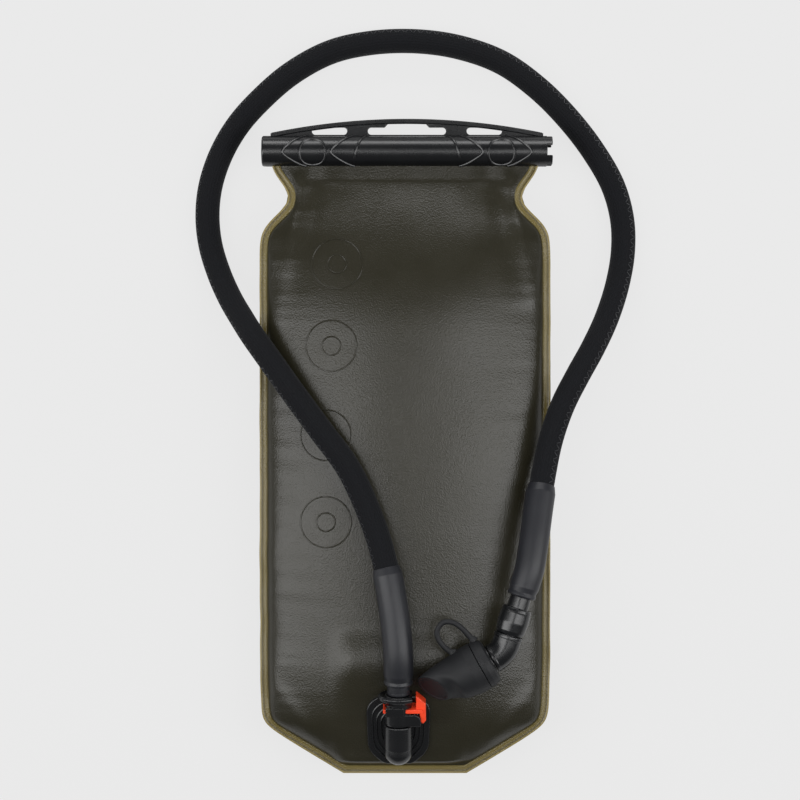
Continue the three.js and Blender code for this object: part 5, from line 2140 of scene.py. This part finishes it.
    def tether(self) -> Piece:
        """Build the strap of the tether, flattened, with a foot at each end."""
        path = self.tether_path()
        size, last = self.tether_radius, path.length
        profile = rounded(
            [(0, 0, 0), (size + 1.6, 0, 0.5), (size + 0.2, 3.2, 2.0), (size, 8, 3.0), (size, last - 7, 3.0),
             (size + 0.3, last - 3, 2.0), (size + 1.9, last, 0.5), (0, last, 0)],
            4,
        )
        return turned("cap_strap", profile, path, 24, 1.5, squash=0.72, sharp=60)

    def build(self) -> list[Piece]:
        """Build and dress the swivel, the valve, its collar and its cap."""
        connector = dress(self.connector(), BLACK_NYLON, "hose", ["swivel_connector"])
        elbow = dress(self.elbow_piece(), BLACK_NYLON, "elbow", ["swivel_elbow"])
        body = dress(self.body_piece(), BLACK_NYLON, "valve", ["valve_body"])
        bite = dress(self.mouthpiece(), CLEAR_SILICONE, "valve", ["bite_mouthpiece"])
        collar = dress(self.collar(), BLACK_RUBBER, "elbow", ["cover_collar"])
        cap = dress(self.cap(), BLACK_RUBBER, "cap", ["dust_cap"])
        tether = self.tether()
        dress(tether, BLACK_RUBBER, "", ["cap_tether"])
        path = self.tether_path()
        start, end = path.point(path.length * 0.2) * MM, path.point(path.length * 0.9) * MM
        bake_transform(tether)
        return [connector, elbow, body, bite, collar, cap, tether]


# ---- Studio ----


@dataclass
class Studio:
    """Plain pale floor, soft light and a camera straight above the bag."""

    paper_colour: str = "#404040"
    paper_glow: str = "#eeeeee"
    camera_place: tuple[float, float, float] = (-3.3, 30.1, 1482.6)
    lens: float = 100.0
    sensor: float = 36.0

    def camera(self) -> None:
        """Add the camera, looking straight down with the slide bar at the top."""
        data = bpy.data.cameras.new("camera")
        data.type = "PERSP"
        data.lens = self.lens
        data.sensor_width = self.sensor
        data.clip_end = 20.0
        camera = bpy.data.objects.new("camera", data)
        camera.location = Vector(self.camera_place) * MM
        bpy.context.scene.collection.objects.link(camera)
        bpy.context.scene.camera = camera

    def floor(self) -> None:
        """Add the floor."""
        size = 4000.0
        corners = [(-size, -size, 0), (size, -size, 0), (size, size, 0), (-size, size, 0)]
        floor = add_mesh("floor", [Vector(c) for c in corners], [(0, 1, 2, 3)])
        material = bpy.data.materials.new("studio_paper")
        material.use_nodes = True
        material.node_tree.nodes.clear()
        kit = NodeKit(material.node_tree)
        shader = kit.add(
            "ShaderNodeBsdfPrincipled",
            {
                "Base Color": linear(self.paper_colour), "Roughness": 0.9,
                "Specular IOR Level": 0.0, "Emission Color": linear(self.paper_glow),
                "Emission Strength": 0.88,
            },
        )
        kit.add("ShaderNodeOutputMaterial", {"Surface": shader.outputs[0]})
        floor.data.materials.append(material)

    def light(self, name: str, place: Sequence[float], size: Point2, watts: float) -> None:
        """Add a soft rectangular light that faces the middle of the bag.

        Args:
            name: the light's name.
            place: where it stands, in metres.
            size: its sides, in metres.
            watts: its power.
        """
        data = bpy.data.lights.new(name, "AREA")
        data.shape = "RECTANGLE"
        data.size, data.size_y = size
        data.energy = watts
        lamp = bpy.data.objects.new(name, data)
        lamp.location = place
        aim = Vector((0, 0, 0.03)) - Vector(place)
        lamp.rotation_euler = aim.to_track_quat("-Z", "Y").to_euler()
        bpy.context.scene.collection.objects.link(lamp)

    def lights(self) -> None:
        """Add the lights: a strip at each side and a soft sky."""
        self.light("left_strip", (-0.95, -0.1, 1.15), (0.6, 2.0), 19)
        self.light("right_strip", (0.95, -0.1, 1.15), (0.6, 2.0), 19)
        self.light("top_box", (0.0, 1.6, 0.75), (1.6, 0.6), 16)
        world = bpy.data.worlds.new("studio")
        world.use_nodes = True
        world.node_tree.nodes["Background"].inputs["Color"].default_value = (1, 1, 1, 1)
        world.node_tree.nodes["Background"].inputs["Strength"].default_value = 0.14
        bpy.context.scene.world = world
        bpy.context.scene.view_settings.view_transform = "Standard"


@dataclass
class Coil:
    """A coil spring between the port and the part that it pushes out."""

    node: str
    pushed_body: str
    wound_along: int
    fixed_low: bool = True

    def build(self, frame: dict) -> Piece:
        """Dress a copy of the frame's spring in place of the frame's own.

        Returns:
            The spring.
        """
        drawn = frame["nodes"][self.node]
        spring = bpy.data.objects.new(self.node + "_coil", drawn.data.copy())
        bpy.context.scene.collection.objects.link(spring)
        spring.data.transform(drawn.matrix_world)
        tidy(spring)
        dress(spring, SPRING_STEEL, "", [self.node])
        places = [vertex.co.copy() for vertex in spring.data.vertices]
        middle = sum(places, Vector()) / len(places)
        ends = []
        for pick in (min, max):
            end = middle.copy()
            end[self.wound_along] = pick(place[self.wound_along] for place in places)
            ends.append(end)
        start, end = ends if self.fixed_low else ends[::-1]
        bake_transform(spring)
        return spring


INNER_NODES: dict[str, Finish] = {
    "shutoff_poppet": ORANGE_ACETAL, "poppet_seal": SEAL_RUBBER, "plug_seal": SEAL_RUBBER,
    "swivel_seal": SEAL_RUBBER, "valve_core": BLACK_NYLON,
}


def main() -> None:
    """Build the whole visual model round the frame."""
    logging.basicConfig(level=logging.INFO, format="%(message)s")
    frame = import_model()

    studio = Studio()
    studio.camera()
    studio.floor()
    studio.lights()

    port = Port()
    valve = Valve()
    hose = Hose(port, valve.elbow, valve.inlet_heading)
    path = hose.path()
    LOG.info("hose path: %.1f mm", path.length)
    sleeve, on_hose = hose.build(path)
    port.build()
    fittings = valve.build()
    Bag().build()
    Closure().build()
    Coil("button_spring", "button", 0).build(frame)
    Coil("poppet_spring", "poppet", 1).build(frame)

    for node, finish in INNER_NODES.items():
        frame["nodes"][node].data.materials.clear()
        frame["nodes"][node].data.materials.append(finish.material())

    steps = round(path.length / 4)
    spaced = [path.point(path.length * k / steps) * MM for k in range(steps + 1)]


if __name__ == "__main__":
    main()
